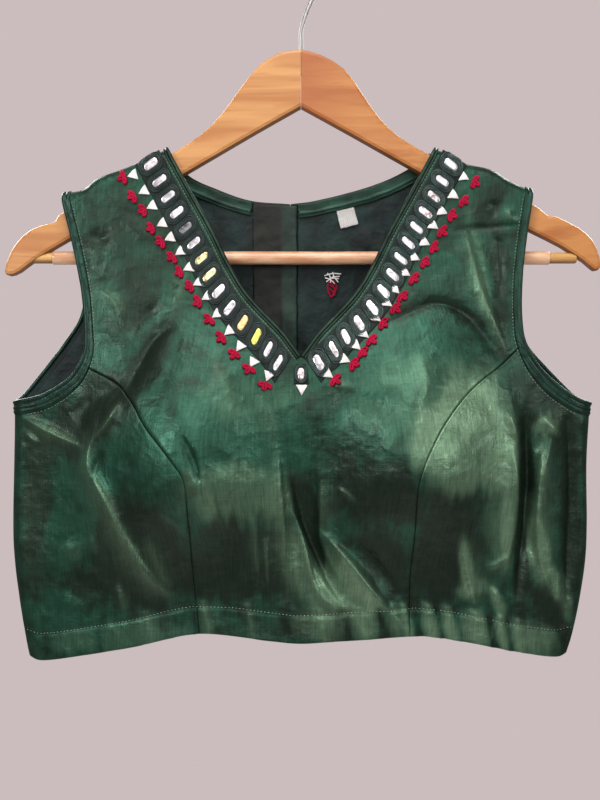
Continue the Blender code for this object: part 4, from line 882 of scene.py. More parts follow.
def back_lining(name):
    """The lining lies inside the back, a little slack, and stops short of its edges."""
    panel, neck_part, _ = back_panel(name)
    start = (LINING_RIGHT_EDGE_X - BACK_OPENING_X) / BACK_WIDTH if name == "right" else 0.0
    columns = back_columns(neck_part, start, end_trim=TURN_STEPS)
    rows = even(LINING_TOP_DROP / BACK_LENGTH, 1 - LINING_HEM_RISE / BACK_LENGTH, HIDDEN_STEP / BACK_LENGTH)
    x, z = panel.plan(columns, rows)
    near = HEM_WALL + GAP
    slack = 0.35 * (1 + value_noise(x, z * 0.3, 21, 71))
    surface = cloth_frame("back", x, z)
    outer = moved_in("back", surface, near)
    inner = moved_in("back", surface, near + LINING_WALL * 0.7 + slack * 0.4)
    return strip(f"back_lining_{name}_cloth", lining, outer, inner)


# ==== trims
def turned(way, sign):
    """A unit way turned a quarter, toward the side that sign gives."""
    return -way[1] * sign, way[0] * sign


def edge_points(face, edge, runs, sign, across, height):
    """Points beside an edge: across is into the cloth (below 0 it is off its edge), height is off it."""
    x, z = edge.at(runs)
    way = turned(edge.direction(runs), sign)
    into = np.maximum(across, 0.0)
    points = cloth_points(face, x + way[0] * into, z + way[1] * into, -height)
    base = cloth_points(face, x + 0 * into, z + 0 * into, 0 * into)
    ahead = cloth_points(face, x + way[0] * 1.5 + 0 * into, z + way[1] * 1.5 + 0 * into, 0 * into)
    outward = (base - ahead) / np.linalg.norm(ahead - base, axis=-1)[..., None]
    return points + outward * np.maximum(-across, 0.0)[..., None]


def round_angles(count):
    return np.linspace(0, tau, count + 1)[:-1]


def tube_mesh(rings, first=0):
    """Faces of closed rings joined one after another, with a fan over each end."""
    count, sides = rings.shape[:2]
    index = np.arange(count * sides).reshape(count, sides) + first
    after = np.roll(index, -1, axis=1)
    faces = np.stack([index[:-1], after[:-1], after[1:], index[1:]], axis=-1).reshape(-1, 4).tolist()
    for row, end in ((index[0], first + count * sides), (index[-1], first + count * sides + 1)):
        faces += [[a, b, end] for a, b in zip(row, np.roll(row, -1))]
    points = np.vstack([rings.reshape(-1, 3), rings[0].mean(axis=0), rings[-1].mean(axis=0)])
    return points, faces


def sweep(name, ring_sets, material):
    """One piece made of closed tubes, each given as its rings of points."""
    points, faces, uv = [], [], []
    first = 0
    for rings in ring_sets:
        made, skin = tube_mesh(rings, first)
        around = np.cumsum(np.linalg.norm(rings - np.roll(rings, 1, axis=1), axis=2), axis=1)
        along = np.concatenate([[0.0], np.cumsum(np.linalg.norm(np.diff(rings[:, 0], axis=0), axis=1))])
        flat = np.stack([around, np.broadcast_to(along[:, None], around.shape)], axis=-1).reshape(-1, 2)
        uv.append(np.vstack([flat, flat[0], flat[-1]]))
        points.append(made)
        faces += skin
        first += len(made)
    return new_piece(name, np.vstack(points), faces, [material], uv=np.vstack(uv))


def edge_runs(length, end_turn, step=1.6):
    """Runs along an edge, close together over the shoulder and round the side seam."""
    start = turn_distances(SHOULDER_RADIUS * 1.1)
    if not end_turn:
        return np.concatenate([start, even(start[-1], length, step)[1:]])
    end = length - turn_distances(end_turn)[::-1]
    return np.concatenate([start, even(start[-1], end[0], step)[1:-1], end])


NECK_ROLLS = [(0.5, -0.25, 1.5), (2.75, 0.25, 0.95)]
ROLL_SIDES = 12


def neck_binding(name):
    """A cord-like roll over the edge of the V, with a thinner roll sewn down beside it."""
    neck, sign = EDGES["neck"][name], SIDES[name]
    runs = edge_runs(neck.length - 0.6, 0.0)[:, None]
    angle = round_angles(ROLL_SIDES)[None, :]
    tubes = []
    for k, (middle, height, radius) in enumerate(NECK_ROLLS):
        swell = radius * (1 + 0.09 * value_noise(runs, 0 * runs, 5.5, 80 + k + sign))
        across, high = middle + swell * np.cos(angle), height + swell * np.sin(angle)
        tubes.append(edge_points("front", neck, runs + 0 * angle, sign, across, high))
    return sweep(f"neck_binding_{name}_roll", tubes, binding_satin)


BAND_WIDTH_AT_SHOULDER = 5.2
BAND_WIDTH_AT_UNDERARM = 10.0
UNDERARM_SLANT = {"front": 1.1, "back": 1.5}
PUCKER_PITCH = 9.0
RIDGE_PITCH = 2.9
BAND_INSIDE = [(2.0, 0.3), (0.1, 0.3), (-0.3, 0.05), (-0.3, -1.45)]
BAND_TAIL = [(0.2, -1.65), (1.6, -1.75), (1.7, -2.3), (0.2, -2.3), (-0.7, -1.95)]
BAND_ROLL = [(-1.05, -0.9), (-1.05, 0.1), (-0.7, 0.95), (0.1, 1.5), (0.9, 1.55), (1.6, 1.2), (2.1, 0.75)]
BAND_FLAT_START, BAND_FLAT_HIGH = 0.35, 1.12
BAND_FLAT_PARTS = (0.4, 0.47, 0.54, 0.61, 0.68, 0.75, 0.82, 0.88)


def band_profile(width):
    """Closed profile of a folded band that wraps an edge: (across, height), from inside round to outside."""
    parts = [(p - BAND_FLAT_START) / (1 - BAND_FLAT_START) for p in BAND_FLAT_PARTS]
    flat = [(2.7, 0.95), (3.3, 1.1)] + [(lerp(3.3, width, part), BAND_FLAT_HIGH) for part in parts]
    inside = [(width, 0.3), (width * 0.6, 0.3), *BAND_INSIDE]
    return np.array(inside + BAND_TAIL + BAND_ROLL + flat + [(width - 0.25, 0.95), (width, 0.6)])


def toward_underarm(runs, length):
    """How far a place is on the way from the band's narrow part to its wide one."""
    return ease((runs / length - 0.5) / 0.35)


def armhole_band(name, face):
    """The armhole's binding on one face: a rolled edge, a groove, and a puckered band, ridged low down."""
    edge, sign = EDGES[f"armhole_{face}"][name], SIDES[name]
    runs = edge_runs(edge.length, SIDE_RADIUS * UNDERARM_SLANT[face], 1.3)[:, None]
    low = toward_underarm(runs, edge.length)
    narrow, wide = band_profile(BAND_WIDTH_AT_SHOULDER), band_profile(BAND_WIDTH_AT_UNDERARM)
    across, height = np.moveaxis(lerp(narrow[None], wide[None], low[..., None]), -1, 0).copy()
    on_top = ease((across - 2.2) / 1.0) * (height > 0.5)
    seed = 90 + sign + (3 if face == "front" else 0)
    pitch = PUCKER_PITCH * (1 + 0.35 * value_noise(runs, 0 * runs, 30, seed))
    pucker = np.abs(np.sin(pi * (runs + 0.5 * across) / pitch)) ** 0.6
    height += on_top * (0.45 * pucker - 0.3) * (1 - 0.55 * low)
    height += on_top * 0.32 * np.cos(tau * (across - 2.0) / RIDGE_PITCH) * low
    height += 0.12 * (height > 0.5) * value_noise(runs, across, 3.5, seed + 7)
    rings = edge_points(face, edge, runs + 0 * across, -sign, across, height)
    return sweep(f"armhole_band_{name}_{face}_roll", [rings], band_satin)


BACK_FACING_WIDTH = 10.5
BACK_FACING_END = 9.0
FACING_ROLL = 1.25
FACING_RIDGE = 7.6
PLACKET_FREE_EDGE_X = -36.0
PLACKET_SEAM_EDGE_X = -3.3


def back_neck_facing(name):
    """The facing inside the back neck, with a soft ridge near its low edge."""
    neck, sign = EDGES["neck_back"][name], SIDES[name]
    start_x = PLACKET_FREE_EDGE_X - GAP if name == "left" else LINING_RIGHT_EDGE_X
    start = float(neck.run[np.abs(neck.line[:, 0] - start_x).argmin()])
    runs = even(start, neck.length - BACK_FACING_END, 1.6)[:, None]
    across = np.linspace(0.6, BACK_FACING_WIDTH, 15)[None, :]
    runs_all = runs + 0 * across
    ridge = 0.55 * bell((across - FACING_RIDGE) / 0.8) + 0.25 * value_noise(runs, across * 2, 9, 61)
    outer = edge_points("back", neck, runs_all, -sign, across, -(INNER_LAYER + 0 * ridge))
    inner = edge_points("back", neck, runs_all, -sign, across, -(INNER_LAYER + STRIP_WALL + ridge))
    return strip(f"back_neck_facing_{name}_cloth", facing_satin, outer, inner)


def back_neck_roll(name):
    """The rolled edge over the back of the neck."""
    neck = EDGES["neck_back"][name]
    runs = even(0.4, neck.length - 3.0, 1.8)[:, None]
    angle = round_angles(ROLL_SIDES)[None, :]
    across = 0.3 + FACING_ROLL * np.cos(angle) + 0 * runs
    height = -0.7 + (FACING_ROLL + 0.7) * np.sin(angle) + 0 * runs
    rings = edge_points("back", neck, runs + 0 * angle, -SIDES[name], across, height)
    return sweep(f"back_neck_roll_{name}", [rings], roll_satin)


def placket_strip():
    """The underlap inside the back closing, with its narrow seam band standing up beside the opening."""
    columns = even(PLACKET_FREE_EDGE_X, PLACKET_SEAM_EDGE_X, 1.3)[None, :]
    rows = even(0.0, 1.0, 2.0 / 330.0)[:, None]
    top = EDGES["neck_back"]["left"].z_at(np.minimum(columns, BACK_OPENING_X)) - 0.8
    z = lerp(top, HEM["back"].z_at(columns) + 2.0, rows)
    x = columns + 0 * z
    seam = ease((x + 14.5) / 1.2)
    ridge = 0.5 * seam + 0.35 * bell((x + 14.0) / 0.7) - 0.3 * bell((x + 6.5) / 0.6)
    ripple = 0.4 * value_noise(x, z * 0.5, 13, 67)
    surface = cloth_frame("back", x, z)
    outer = moved_in("back", surface, INNER_LAYER)
    inner = moved_in("back", surface, INNER_LAYER + STRIP_WALL + ridge + ripple)
    return strip("back_placket_strip_cloth", placket_satin, outer, inner, (seam, 0 * seam))


LABEL_SIZE = 13.5
LABEL_X, LABEL_Z = 34.8, -201.6
LABEL_TURN = radians(14)


def label_place(across, down):
    """X and Z of a place on the label, in its own turned directions."""
    x = LABEL_X + across * cos(LABEL_TURN) + down * sin(LABEL_TURN)
    return x, LABEL_Z + across * sin(LABEL_TURN) - down * cos(LABEL_TURN)


def size_label():
    """A blank tape label, sewn on at its top edge and curling a little at its low one."""
    part = np.linspace(-0.5, 0.5, 15) * LABEL_SIZE
    across, down = part[None, :], part[:, None]
    x, z = label_place(across + 0 * down, down + 0 * across)
    curl = 1.1 * ease((down / LABEL_SIZE + 0.2) / 0.7) * (0.6 + 0.4 * np.cos(across / LABEL_SIZE * 2.4))
    outer, inner = (cloth_points("back", x, z, INNER_LAYER + deep + curl) for deep in (0.1, 0.6))
    return strip("size_label_tape", label_tape, outer, inner)


# ==== mirror band
MIRRORS_A_SIDE = 14
MIRROR_PITCH = 12.9
MIRROR_LONG = 14.0
MIRROR_WIDE = 6.3
MIRROR_FROM_EDGE = 16.0
BAND_INNER, BAND_OUTER = 5.8, 26.2
FIRST_MIRROR_DROP = 5.5
LAST_MIRROR_NUDGE = -4.5
TOP_MIRROR_LIFT = 1.0
TILT_AT_SHOULDER, TILT_AT_POINT = radians(7), radians(21)
CENTRE_MIRROR_LONG = 11.5
CENTRE_MIRROR_DROP = 12.0
CENTRE_CELL_DROPS = (5.0, 19.4)
CENTRE_CELL_HALF_WIDTHS = (3.6, 5.4)


class MirrorRun:
    """Places along one side of the V: u counts mirrors from the shoulder, v is across, from the edge."""

    middle, long = MIRROR_FROM_EDGE, MIRROR_LONG

    def __init__(self, name):
        self.sign, self.neck = SIDES[name], EDGES["neck"][name]

    def place(self, u, v):
        run = FIRST_MIRROR_DROP + u * MIRROR_PITCH
        x, z = self.neck.at(run)
        way = turned(self.neck.direction(run, 12.0), self.sign)
        tilt = lerp(TILT_AT_SHOULDER, TILT_AT_POINT, u / (MIRRORS_A_SIDE - 1)) * self.sign
        reach = v / np.cos(tilt)
        turn_x = way[0] * np.cos(tilt) + way[1] * np.sin(tilt)
        turn_z = -way[0] * np.sin(tilt) + way[1] * np.cos(tilt)
        nudge = LAST_MIRROR_NUDGE * ease(u - 12.2) * (self.sign > 0)
        return x + turn_x * reach + nudge, z + turn_z * reach

    def lift(self, u):
        """How far the band stands off the cloth, beyond its own thickness."""
        return TOP_MIRROR_LIFT * np.maximum(0.0, 1 - u)


class CentreRun:
    """The place of the one mirror under the point of the V: u is across, v runs down."""

    middle, long = CENTRE_MIRROR_DROP, CENTRE_MIRROR_LONG

    def place(self, u, v):
        return u * MIRROR_PITCH + 0 * v, NECK_POINT_Z - v + 0 * u

    def lift(self, u):
        return 0 * u


def band_points(run, u, across, along, height):
    """Points of the band at millimetre offsets from the middle of mirror u, at a height off the cloth."""
    at = u + across / MIRROR_PITCH
    x, z = run.place(at, run.middle + along)
    return cloth_points("front", x, z, -run.lift(at) - height)


def oval(half_wide, half_long, part):
    """Places round a straight-sided oval, evenly spaced: part runs from 0 to 1 round it."""
    angle = np.linspace(0, tau, 73)
    straight = np.sign(np.round(np.sin(angle), 9)) * (half_long - half_wide)
    straight[0] = straight[-1] = half_wide - half_long
    across = half_wide * np.cos(angle)
    along = half_wide * np.sin(angle) + straight
    run = np.concatenate([[0.0], np.cumsum(np.hypot(np.diff(across), np.diff(along)))])
    at = np.mod(part, 1.0) * run[-1]
    return np.interp(at, run, across), np.interp(at, run, along)


SEEN_WIDE = 5.2
RIM_HIDDEN = 1.0
MIRROR_TINTS = {
    "left": [0.22, 0.15, 0.0, 0.05, 0.75, 0.15, 0.42, 0.42, 0.2, 0.15, 0.52, 0.6, 0.1, 0.0],
    "right": [0.05, 0.15, 0.3, 0.3, 0.0, 0.1, 0.0, 0.05, 0.1, 0.0, 0.22, 0.15, 0.22, 0.1],
    "centre": [0.25],
}
MIRROR_RINGS = [(1.0, 0.62), (1.0, 1.18), (0.9, 1.36), (0.6, 1.42), (0.3, 1.44)]


def mirrors(name, run, tints):
    """Oval mirrors with bevelled rims, no two cut quite alike."""
    points, faces, tint, first = [], [], [], 0
    part = np.linspace(0, 1, 33)[:-1]
    angle = part * tau
    for u, colour in enumerate(tints):
        wide = SEEN_WIDE / 2 * RNG.uniform(0.9, 1.06)
        long = (run.long / 2 - RIM_HIDDEN) * RNG.uniform(0.94, 1.04)
        uneven = 1 + 0.03 * np.sin(2 * angle + RNG.uniform(0, tau))
        uneven = uneven + 0.02 * np.sin(3 * angle + RNG.uniform(0, tau))
        lean = RNG.uniform(-0.05, 0.05, 2)
        across, along = oval(wide, long, part)
        scale, height = np.array(MIRROR_RINGS).T[:, :, None]
        high = height + scale * (lean[0] * across * 0.4 + lean[1] * along * 0.25)
        rings = band_points(run, u, across * uneven * scale, along * uneven * scale, high)
        made, skin = tube_mesh(rings, first)
        points.append(made)
        faces += skin
        tint += [colour] * len(made)
        first += len(made)
    return new_piece(name, np.vstack(points), faces, [mirror_glass], values={"tint": tint})


def band_grid(last):
    """The pad's grid under one side's mirrors, from its inner to its outer edge: u and v."""
    v = even(BAND_INNER, BAND_OUTER, 0.85)[:, None]
    u = even(-0.5 * MIRROR_PITCH, (last + 0.5) * MIRROR_PITCH, 0.85) / MIRROR_PITCH
    return u[None, :] + 0 * v, v


def centre_grid():
    """The same for the one cell under the point of the V, which widens downward."""
    (low, high), (top_half, low_half) = CENTRE_CELL_DROPS, CENTRE_CELL_HALF_WIDTHS
    v = even(low, high, 0.6)[:, None]
    half = lerp(top_half, low_half, (v - low) / (high - low)) / MIRROR_PITCH
    return np.linspace(-1, 1, 17)[None, :] * half, v


def band_pad(name, run, last, grid):
    """The close dark stitching under and between the mirrors: a low pad that swells round each one."""
    u, v = grid
    nearest = np.clip(np.round(u), 0, last)
    across, along = (u - nearest) * MIRROR_PITCH, v - run.middle
    straight = run.long / 2 - MIRROR_WIDE / 2
    off = np.hypot(across, np.maximum(np.abs(along) - straight, 0)) - MIRROR_WIDE / 2
    top = 0.62 + 0.42 * bell((off - 0.9) / 0.8) + 0.14 * value_noise(u * MIRROR_PITCH, v + 0 * u, 1.8, 73)
    x, z = run.place(u, v + 0 * u)
    surface = cloth_frame("front", x, z)
    outer = moved_in("front", surface, -(run.lift(u) + top))
    inner = moved_in("front", surface, 0 * top - GAP)
    return strip(name, pad_thread, outer, inner)


# ==== node trees
class Nodes:
    """Adds nodes to one tree, and links or sets their sockets by name."""

    def __init__(self, tree):
        self.tree = tree

    def add(self, kind, feeds=None, **settings):
        node = self.tree.nodes.new(kind)
        for key, value in settings.items():
            setattr(node, key, value)
        for label, value in (feeds or {}).items():
            self.feed(node.inputs[label], value)
        return node

    def feed(self, socket, value):
        """Links an output to a socket, or sets the socket's own value; colours come without alpha."""
        if hasattr(value, "is_output"):
            self.tree.links.new(value, socket)
        else:
            socket.default_value = (*value, 1.0) if socket.type == "RGBA" else value

    def math(self, operation, a, b=0.0, clamp=False):
        node = self.add("ShaderNodeMath", {0: a, 1: b}, operation=operation, use_clamp=clamp)
        return node.outputs[0]

    def plus(self, a, b, clamp=False):
        return self.math("ADD", a, b, clamp)

    def times(self, a, b, clamp=False):
        return self.math("MULTIPLY", a, b, clamp)

    def noise(self, vector, scale, detail=2.0, roughness=0.5, distortion=0.0):
        feeds = {"Vector": vector, "Scale": scale, "Detail": detail}
        feeds |= {"Roughness": roughness, "Distortion": distortion}
        return self.add("ShaderNodeTexNoise", feeds).outputs["Fac"]

    def ramp(self, value, low, high, out_low=0.0, out_high=1.0):
        feeds = {"Value": value, "From Min": low, "From Max": high, "To Min": out_low, "To Max": out_high}
        return self.add("ShaderNodeMapRange", feeds, interpolation_type="SMOOTHSTEP").outputs["Result"]

    def mix(self, factor, a, b):
        feeds = {"Factor": factor, "A": a, "B": b}
        return self.add("ShaderNodeMix", feeds, data_type="RGBA").outputs["Result"]

    def between(self, value, low, high, dark, light):
        """A colour that goes from dark to light as a value goes from low to high."""
        return self.mix(self.ramp(value, low, high), dark, light)

    def scaled(self, vector, scale):
        feeds = {0: vector, "Scale": scale}
        return self.add("ShaderNodeVectorMath", feeds, operation="SCALE").outputs["Vector"]

    def stretched(self, vector, scale, turn=(0.0, 0.0, 0.0)):
        feeds = {"Vector": vector, "Scale": scale, "Rotation": turn}
        return self.add("ShaderNodeMapping", feeds).outputs["Vector"]

    def object_place(self):
        return self.add("ShaderNodeTexCoord").outputs["Object"]

    def cloth_place(self):
        return self.add("ShaderNodeUVMap", uv_map="cut").outputs["UV"]

    def value_of(self, label):
        return self.add("ShaderNodeAttribute", attribute_name=label).outputs["Fac"]

    def axis(self, vector, label):
        return self.add("ShaderNodeSeparateXYZ", {"Vector": vector}).outputs[label]

    def attribute(self, label, kind="FLOAT"):
        node = self.add("GeometryNodeInputNamedAttribute", {"Name": label}, data_type=kind)
        return node.outputs["Attribute"]

    def group(self, tree, **inputs):
        return self.add("ShaderNodeGroup", node_tree=tree, feeds=inputs).outputs


def new_tree(name, tree_kind, inputs, outputs):
    """A node group with named sockets: its nodes, what it is given and what it puts out."""
    tree = bpy.data.node_groups.new(name, tree_kind)
    for way, sockets in (("INPUT", inputs), ("OUTPUT", outputs)):
        for label, kind, *value in sockets:
            socket = tree.interface.new_socket(label, in_out=way, socket_type=f"NodeSocket{kind}")
            if value:
                socket.default_value = value[0]
    n = Nodes(tree)
    return n, n.add("NodeGroupInput").outputs, n.add("NodeGroupOutput").inputs


def new_geometry_tree(name, sizes):
    """A geometry tree with a mesh, named sizes and a finish in, and a mesh out."""
    mesh = ("Geometry", "Geometry")
    return new_tree(name, "GeometryNodeTree", [mesh, *sizes, ("Finish", "Material")], [mesh])


# ==== laid threads and stitches
def finish_tree(n, made, given, out):
    """Ends a tree with real geometry, shaded smooth, in the finish that it is given."""
    for kind in ("GeometryNodeRealizeInstances", "GeometryNodeSetShadeSmooth", "GeometryNodeSetMaterial"):
        node = n.add(kind, {"Geometry": made})
        made = node.outputs["Geometry"]
    n.feed(node.inputs["Material"], given["Finish"])
    n.feed(out["Geometry"], made)
    return n.tree


def laid_thread_tree():
    """Lays a round thread along each run of edges, as thick as the points' own thickness says."""
    sizes = [("Thread Radius", "Float", 0.0004), ("Thread Sides", "Int", 6)]
    n, given, out = new_geometry_tree("laid threads", sizes)
    curve = n.add("GeometryNodeMeshToCurve", {"Mesh": given["Geometry"]}).outputs["Curve"]
    feeds = {"Resolution": given["Thread Sides"], "Radius": given["Thread Radius"]}
    section = n.add("GeometryNodeCurvePrimitiveCircle", feeds).outputs["Curve"]
    feeds = {"Curve": curve, "Profile Curve": section, "Scale": n.attribute("thick"), "Fill Caps": True}
    return finish_tree(n, n.add("GeometryNodeCurveToMesh", feeds).outputs["Mesh"], given, out)


def stitch_tree():
    """Sets a small oval stitch on each point, along that point's own way."""
    sizes = [("Stitch Length", "Float", 0.002), ("Stitch Width", "Float", 0.0006)]
    n, given, out = new_geometry_tree("stitches", sizes)
    bead = n.add("GeometryNodeMeshUVSphere", {"Segments": 6, "Rings": 4, "Radius": 0.5}).outputs["Mesh"]
    way = {"Vector": n.attribute("way", "FLOAT_VECTOR")}
    turn = n.add("FunctionNodeAlignRotationToVector", way, axis="X").outputs["Rotation"]
    long, wide = given["Stitch Length"], given["Stitch Width"]
    size = n.add("ShaderNodeCombineXYZ", {"X": long, "Y": wide, "Z": wide}).outputs["Vector"]
    feeds = {"Points": given["Geometry"], "Instance": bead, "Rotation": turn, "Scale": size}
    return finish_tree(n, n.add("GeometryNodeInstanceOnPoints", feeds).outputs["Instances"], given, out)


def grow(name, mesh, tree, values):
    """Runs a tree on a mesh once and keeps the plain mesh that it makes."""
    carrier = new_object(f"{name}_path", mesh)
    modifier = carrier.modifiers.new("grow", "NODES")
    modifier.node_group = tree
    for item in tree.interface.items_tree:
        if item.in_out == "INPUT" and item.name in values:
            modifier[item.identifier] = values[item.name]
    bpy.context.view_layer.update()
    evaluated = carrier.evaluated_get(bpy.context.evaluated_depsgraph_get())
    made = bpy.data.meshes.new_from_object(evaluated)
    made.name = name
    bpy.data.objects.remove(carrier, do_unlink=True)
    turn_outward(made)
    return new_object(name, made)


def laid_threads(name, lines, finish, radius, sides=6, closed=False, thick=None):
    """Threads along lines of points, each with its thickness along it as parts of the radius."""
    edges, widths, first = [], [], 0
    for line in lines:
        n = len(line)
        widths += thick or [1.0] * n
        edges += [(first + i, first + i + 1) for i in range(n - 1)]
        if closed:
            edges.append((first + n - 1, first))
        first += n
    mesh = bpy.data.meshes.new(f"{name}_runs")
    mesh.from_pydata(np.vstack(lines) * MM, edges, [])
    add_values(mesh, "thick", widths)
    values = {"Thread Radius": radius * MM, "Thread Sides": sides, "Finish": finish}
    return grow(name, mesh, THREAD_TREE, values)


def stitches(name, lines, finish, length, width):
    """Stitches on lines of points, each along its own line."""
    mesh = bpy.data.meshes.new(f"{name}_places")
    mesh.from_pydata(np.vstack(lines) * MM, [], [])
    ways = np.vstack([np.gradient(line, axis=0) for line in lines])
    add_values(mesh, "way", ways, "FLOAT_VECTOR", "vector")
    values = {"Stitch Length": length * MM, "Stitch Width": width * MM, "Finish": finish}
    return grow(name, mesh, STITCH_TREE, values)


LOOP_OFFSETS = [(0.45, 1.5), (1.35, 1.75), (2.25, 1.5), (3.15, 1.2)]
BAR_REACH, BAR_HEIGHTS = [0.0, 0.3, 0.65, 1.0], [1.5, 1.95, 1.85, 1.1]
BAR_INNER, BAR_OUTER = -0.2, 2.2
BAR_THICK = [0.8, 1, 1, 0.7]
LOOP_RADIUS, BAR_THREAD_RADIUS = 0.42, 0.3


def oval_round(run, off, part):
    """An oval round a mirror's seen face, a distance off its edge."""
    return oval(SEEN_WIDE / 2 + off, run.long / 2 - RIM_HIDDEN + off, part)


def mirror_loops(run, count):
    """Oval loops of thread round each mirror, from its rim outward."""
    lines = []
    part = np.linspace(0, 1, 37)[:-1]
    angle = part * tau
    for u in range(count):
        places = []
        for off, height in LOOP_OFFSETS:
            across, along = oval_round(run, off, part)
            wobble = 1 + 0.02 * np.sin(3 * angle + RNG.uniform(0, tau))
            high = height + 0.08 * np.sin(5 * angle + RNG.uniform(0, tau))
            places.append((across * wobble, along * wobble, high))
        lines += list(band_points(run, u, *np.moveaxis(np.array(places), 1, 0)))
    return lines


def mirror_bars(run, count):
    """Short stitches that hold each mirror's rim: they run outward from it, side by side."""
    lines = []
    way_round = np.linspace(0, 1, 41)[:-1, None]
    reach, high = np.array(BAR_REACH)[None, :], np.array(BAR_HEIGHTS)[None, :]
    for u in range(count):
        slant = way_round + RNG.uniform(-0.006, 0.006, way_round.shape)
        inner, outer = oval_round(run, BAR_INNER, way_round), oval_round(run, BAR_OUTER, slant)
        across, along = lerp(inner[0], outer[0], reach), lerp(inner[1], outer[1], reach)
        lines += list(band_points(run, u, across, along, high))
    return lines


# Each white wedge and its red flower, by their middles, from the shoulder down.
MOTIFS = {"left": [
    (-123.5, -173.5, -131, -175.5), (-115.5, -185.5, -123.5, -189.5), (-109.5, -196.5, -116, -199.5),
    (-102, -209.5, -110, -213), (-96, -220, -103, -223), (-88.5, -230.5, -94.5, -234.5),
    (-82, -242.5, -89, -245.5), (-75, -253.5, -81, -256.5), (-68.5, -264, -75, -267.5),
    (-61, -277, -66.5, -281), (-52, -289.5, -57.5, -294), (-44, -300.5, -48, -306),
    (-34.5, -312, -37.5, -317), (-23.5, -321.5, -26, -328.5),
], "right": [
    (119.5, -175, 128, -179), (112, -188.5, 119.5, -193), (103.5, -200.5, 110.5, -203.5),
    (97, -211, 103.5, -215.5), (90.5, -223.5, 97.5, -227), (83, -234.5, 90.5, -238),
    (76, -246, 82.5, -250), (68.5, -258.5, 74, -263.5), (62.5, -268.5, 68.5, -272.5),
    (54.5, -279.5, 59.5, -283.5), (45.5, -291.5, 51, -296), (39.5, -300, 44.5, -304.5),
    (31.5, -310, 38, -313), (19.5, -320.5, 25, -324.5),
], "centre": [(0.5, -331, 0.5, -341)]}
TRIANGLE_BASE = 7.4
TRIANGLE_HIGH = 6.8
TRIANGLE_THREADS = 11
TRIANGLE_THICK = [0.85, 1.1, 1.05, 0.9, 0.6]
PETAL_LONG = 4.9
PETAL_WIDE = 1.25
PETAL_TURNS = (-66, 0, 66)
PETAL_THICK = [0.8] + [1.0] * 13 + [0.8]


def motif_points(x, z, way, ahead, aside, height):
    """Points at distances ahead of and beside a place on the cloth, at a height off it."""
    at_x = x + way[0] * ahead - way[1] * aside
    at_z = z + way[1] * ahead + way[0] * aside
    return cloth_points("front", at_x, at_z, -height)


def motif_way(x, z, flower_x, flower_z):
    size = hypot(flower_x - x, flower_z - z)
    return (flower_x - x) / size, (flower_z - z) / size


def triangle(motif):
    """A wedge of satin stitches that fan in from its base to its point."""
    start = np.linspace(-0.5, 0.5, TRIANGLE_THREADS)[:, None] * TRIANGLE_BASE
    part = np.linspace(0, 1, len(TRIANGLE_THICK))[None, :]
    uneven = RNG.uniform(0.96, 1.04, start.shape)
    ahead = TRIANGLE_HIGH * (1 - 0.12 * np.abs(start / TRIANGLE_BASE)) * uneven * part - 0.42 * TRIANGLE_HIGH
    bulge = 0.55 + 0.85 * np.sin(pi * part) ** 0.6
    return list(motif_points(*motif[:2], motif_way(*motif), ahead, start * (1 - 0.95 * part), bulge))


def trefoil(motif):
    """Three fat looped petals that spread from one place."""
    lean = np.radians(np.array(PETAL_TURNS) + RNG.uniform(-8, 8, 3))[:, None]
    long = PETAL_LONG * RNG.uniform(0.9, 1.06, 3)[:, None]
    part = np.linspace(0.0, tau, len(PETAL_THICK))[None, :]
    along = long * (1 - np.cos(part)) / 2
    across = PETAL_WIDE * np.sin(part) * (0.5 + 0.5 * (1 - np.cos(part)) / 2)
    ahead = along * np.cos(lean) - across * np.sin(lean) - 0.32 * PETAL_LONG
    aside = across * np.cos(lean) + along * np.sin(lean)
    return list(motif_points(*motif[2:], motif_way(*motif), ahead, aside, 0.85 + 0.35 * np.sin(part / 2)))


KNOT_HEIGHT = INNER_LAYER + 1.4
KNOT_RISE = 0.6
KNOT_WHITE = [
    [(18, -245), (24, -243.5), (30, -244)], [(19.5, -249.5), (24, -246), (29, -245.5)],
    [(18.5, -246.5), (22, -248), (26, -251.5)], [(24, -242.5), (25, -246), (28, -250)],
    [(20, -243), (22, -246), (22.5, -250.5)], [(21, -247.5), (25, -247), (28.5, -247.5)],
]
KNOT_RED = [
    [(23.5, -247), (21, -251), (20.5, -256), (23, -261), (25, -257), (24, -251)],
    [(24.5, -249), (26.5, -253), (25.5, -258), (22.5, -262), (21.5, -257)],
    [(22, -252), (24, -254), (26, -255.5)], [(21, -255), (23.5, -257), (25.5, -260)],
]


def knot_thread(line):
    """A loose end of the embroidery that shows inside the back."""
    run = smooth(line, per_span=4)
    lift = KNOT_RISE * np.sin(np.linspace(0, pi, len(run)))
    return cloth_points("back", run[:, 0], run[:, 1], KNOT_HEIGHT + lift)


HEM_STITCH_PITCH = 2.6
BINDING_STITCH_PITCH = 2.4
BINDING_STITCH_OFF = 4.3
BAND_STITCH_OFF = 1.0
STITCH_LIFT = 0.1


def hem_stitch_line(face):
    x = even(-205, 205, HEM_STITCH_PITCH)
    z = HEM[face].z_at(x) + HEM_TURN + 0.5 * value_noise(x, 0 * x, 21, 44)
    keep = side_distance(x, z) > 1.0
    return cloth_points(face, x[keep], z[keep], -0.05)


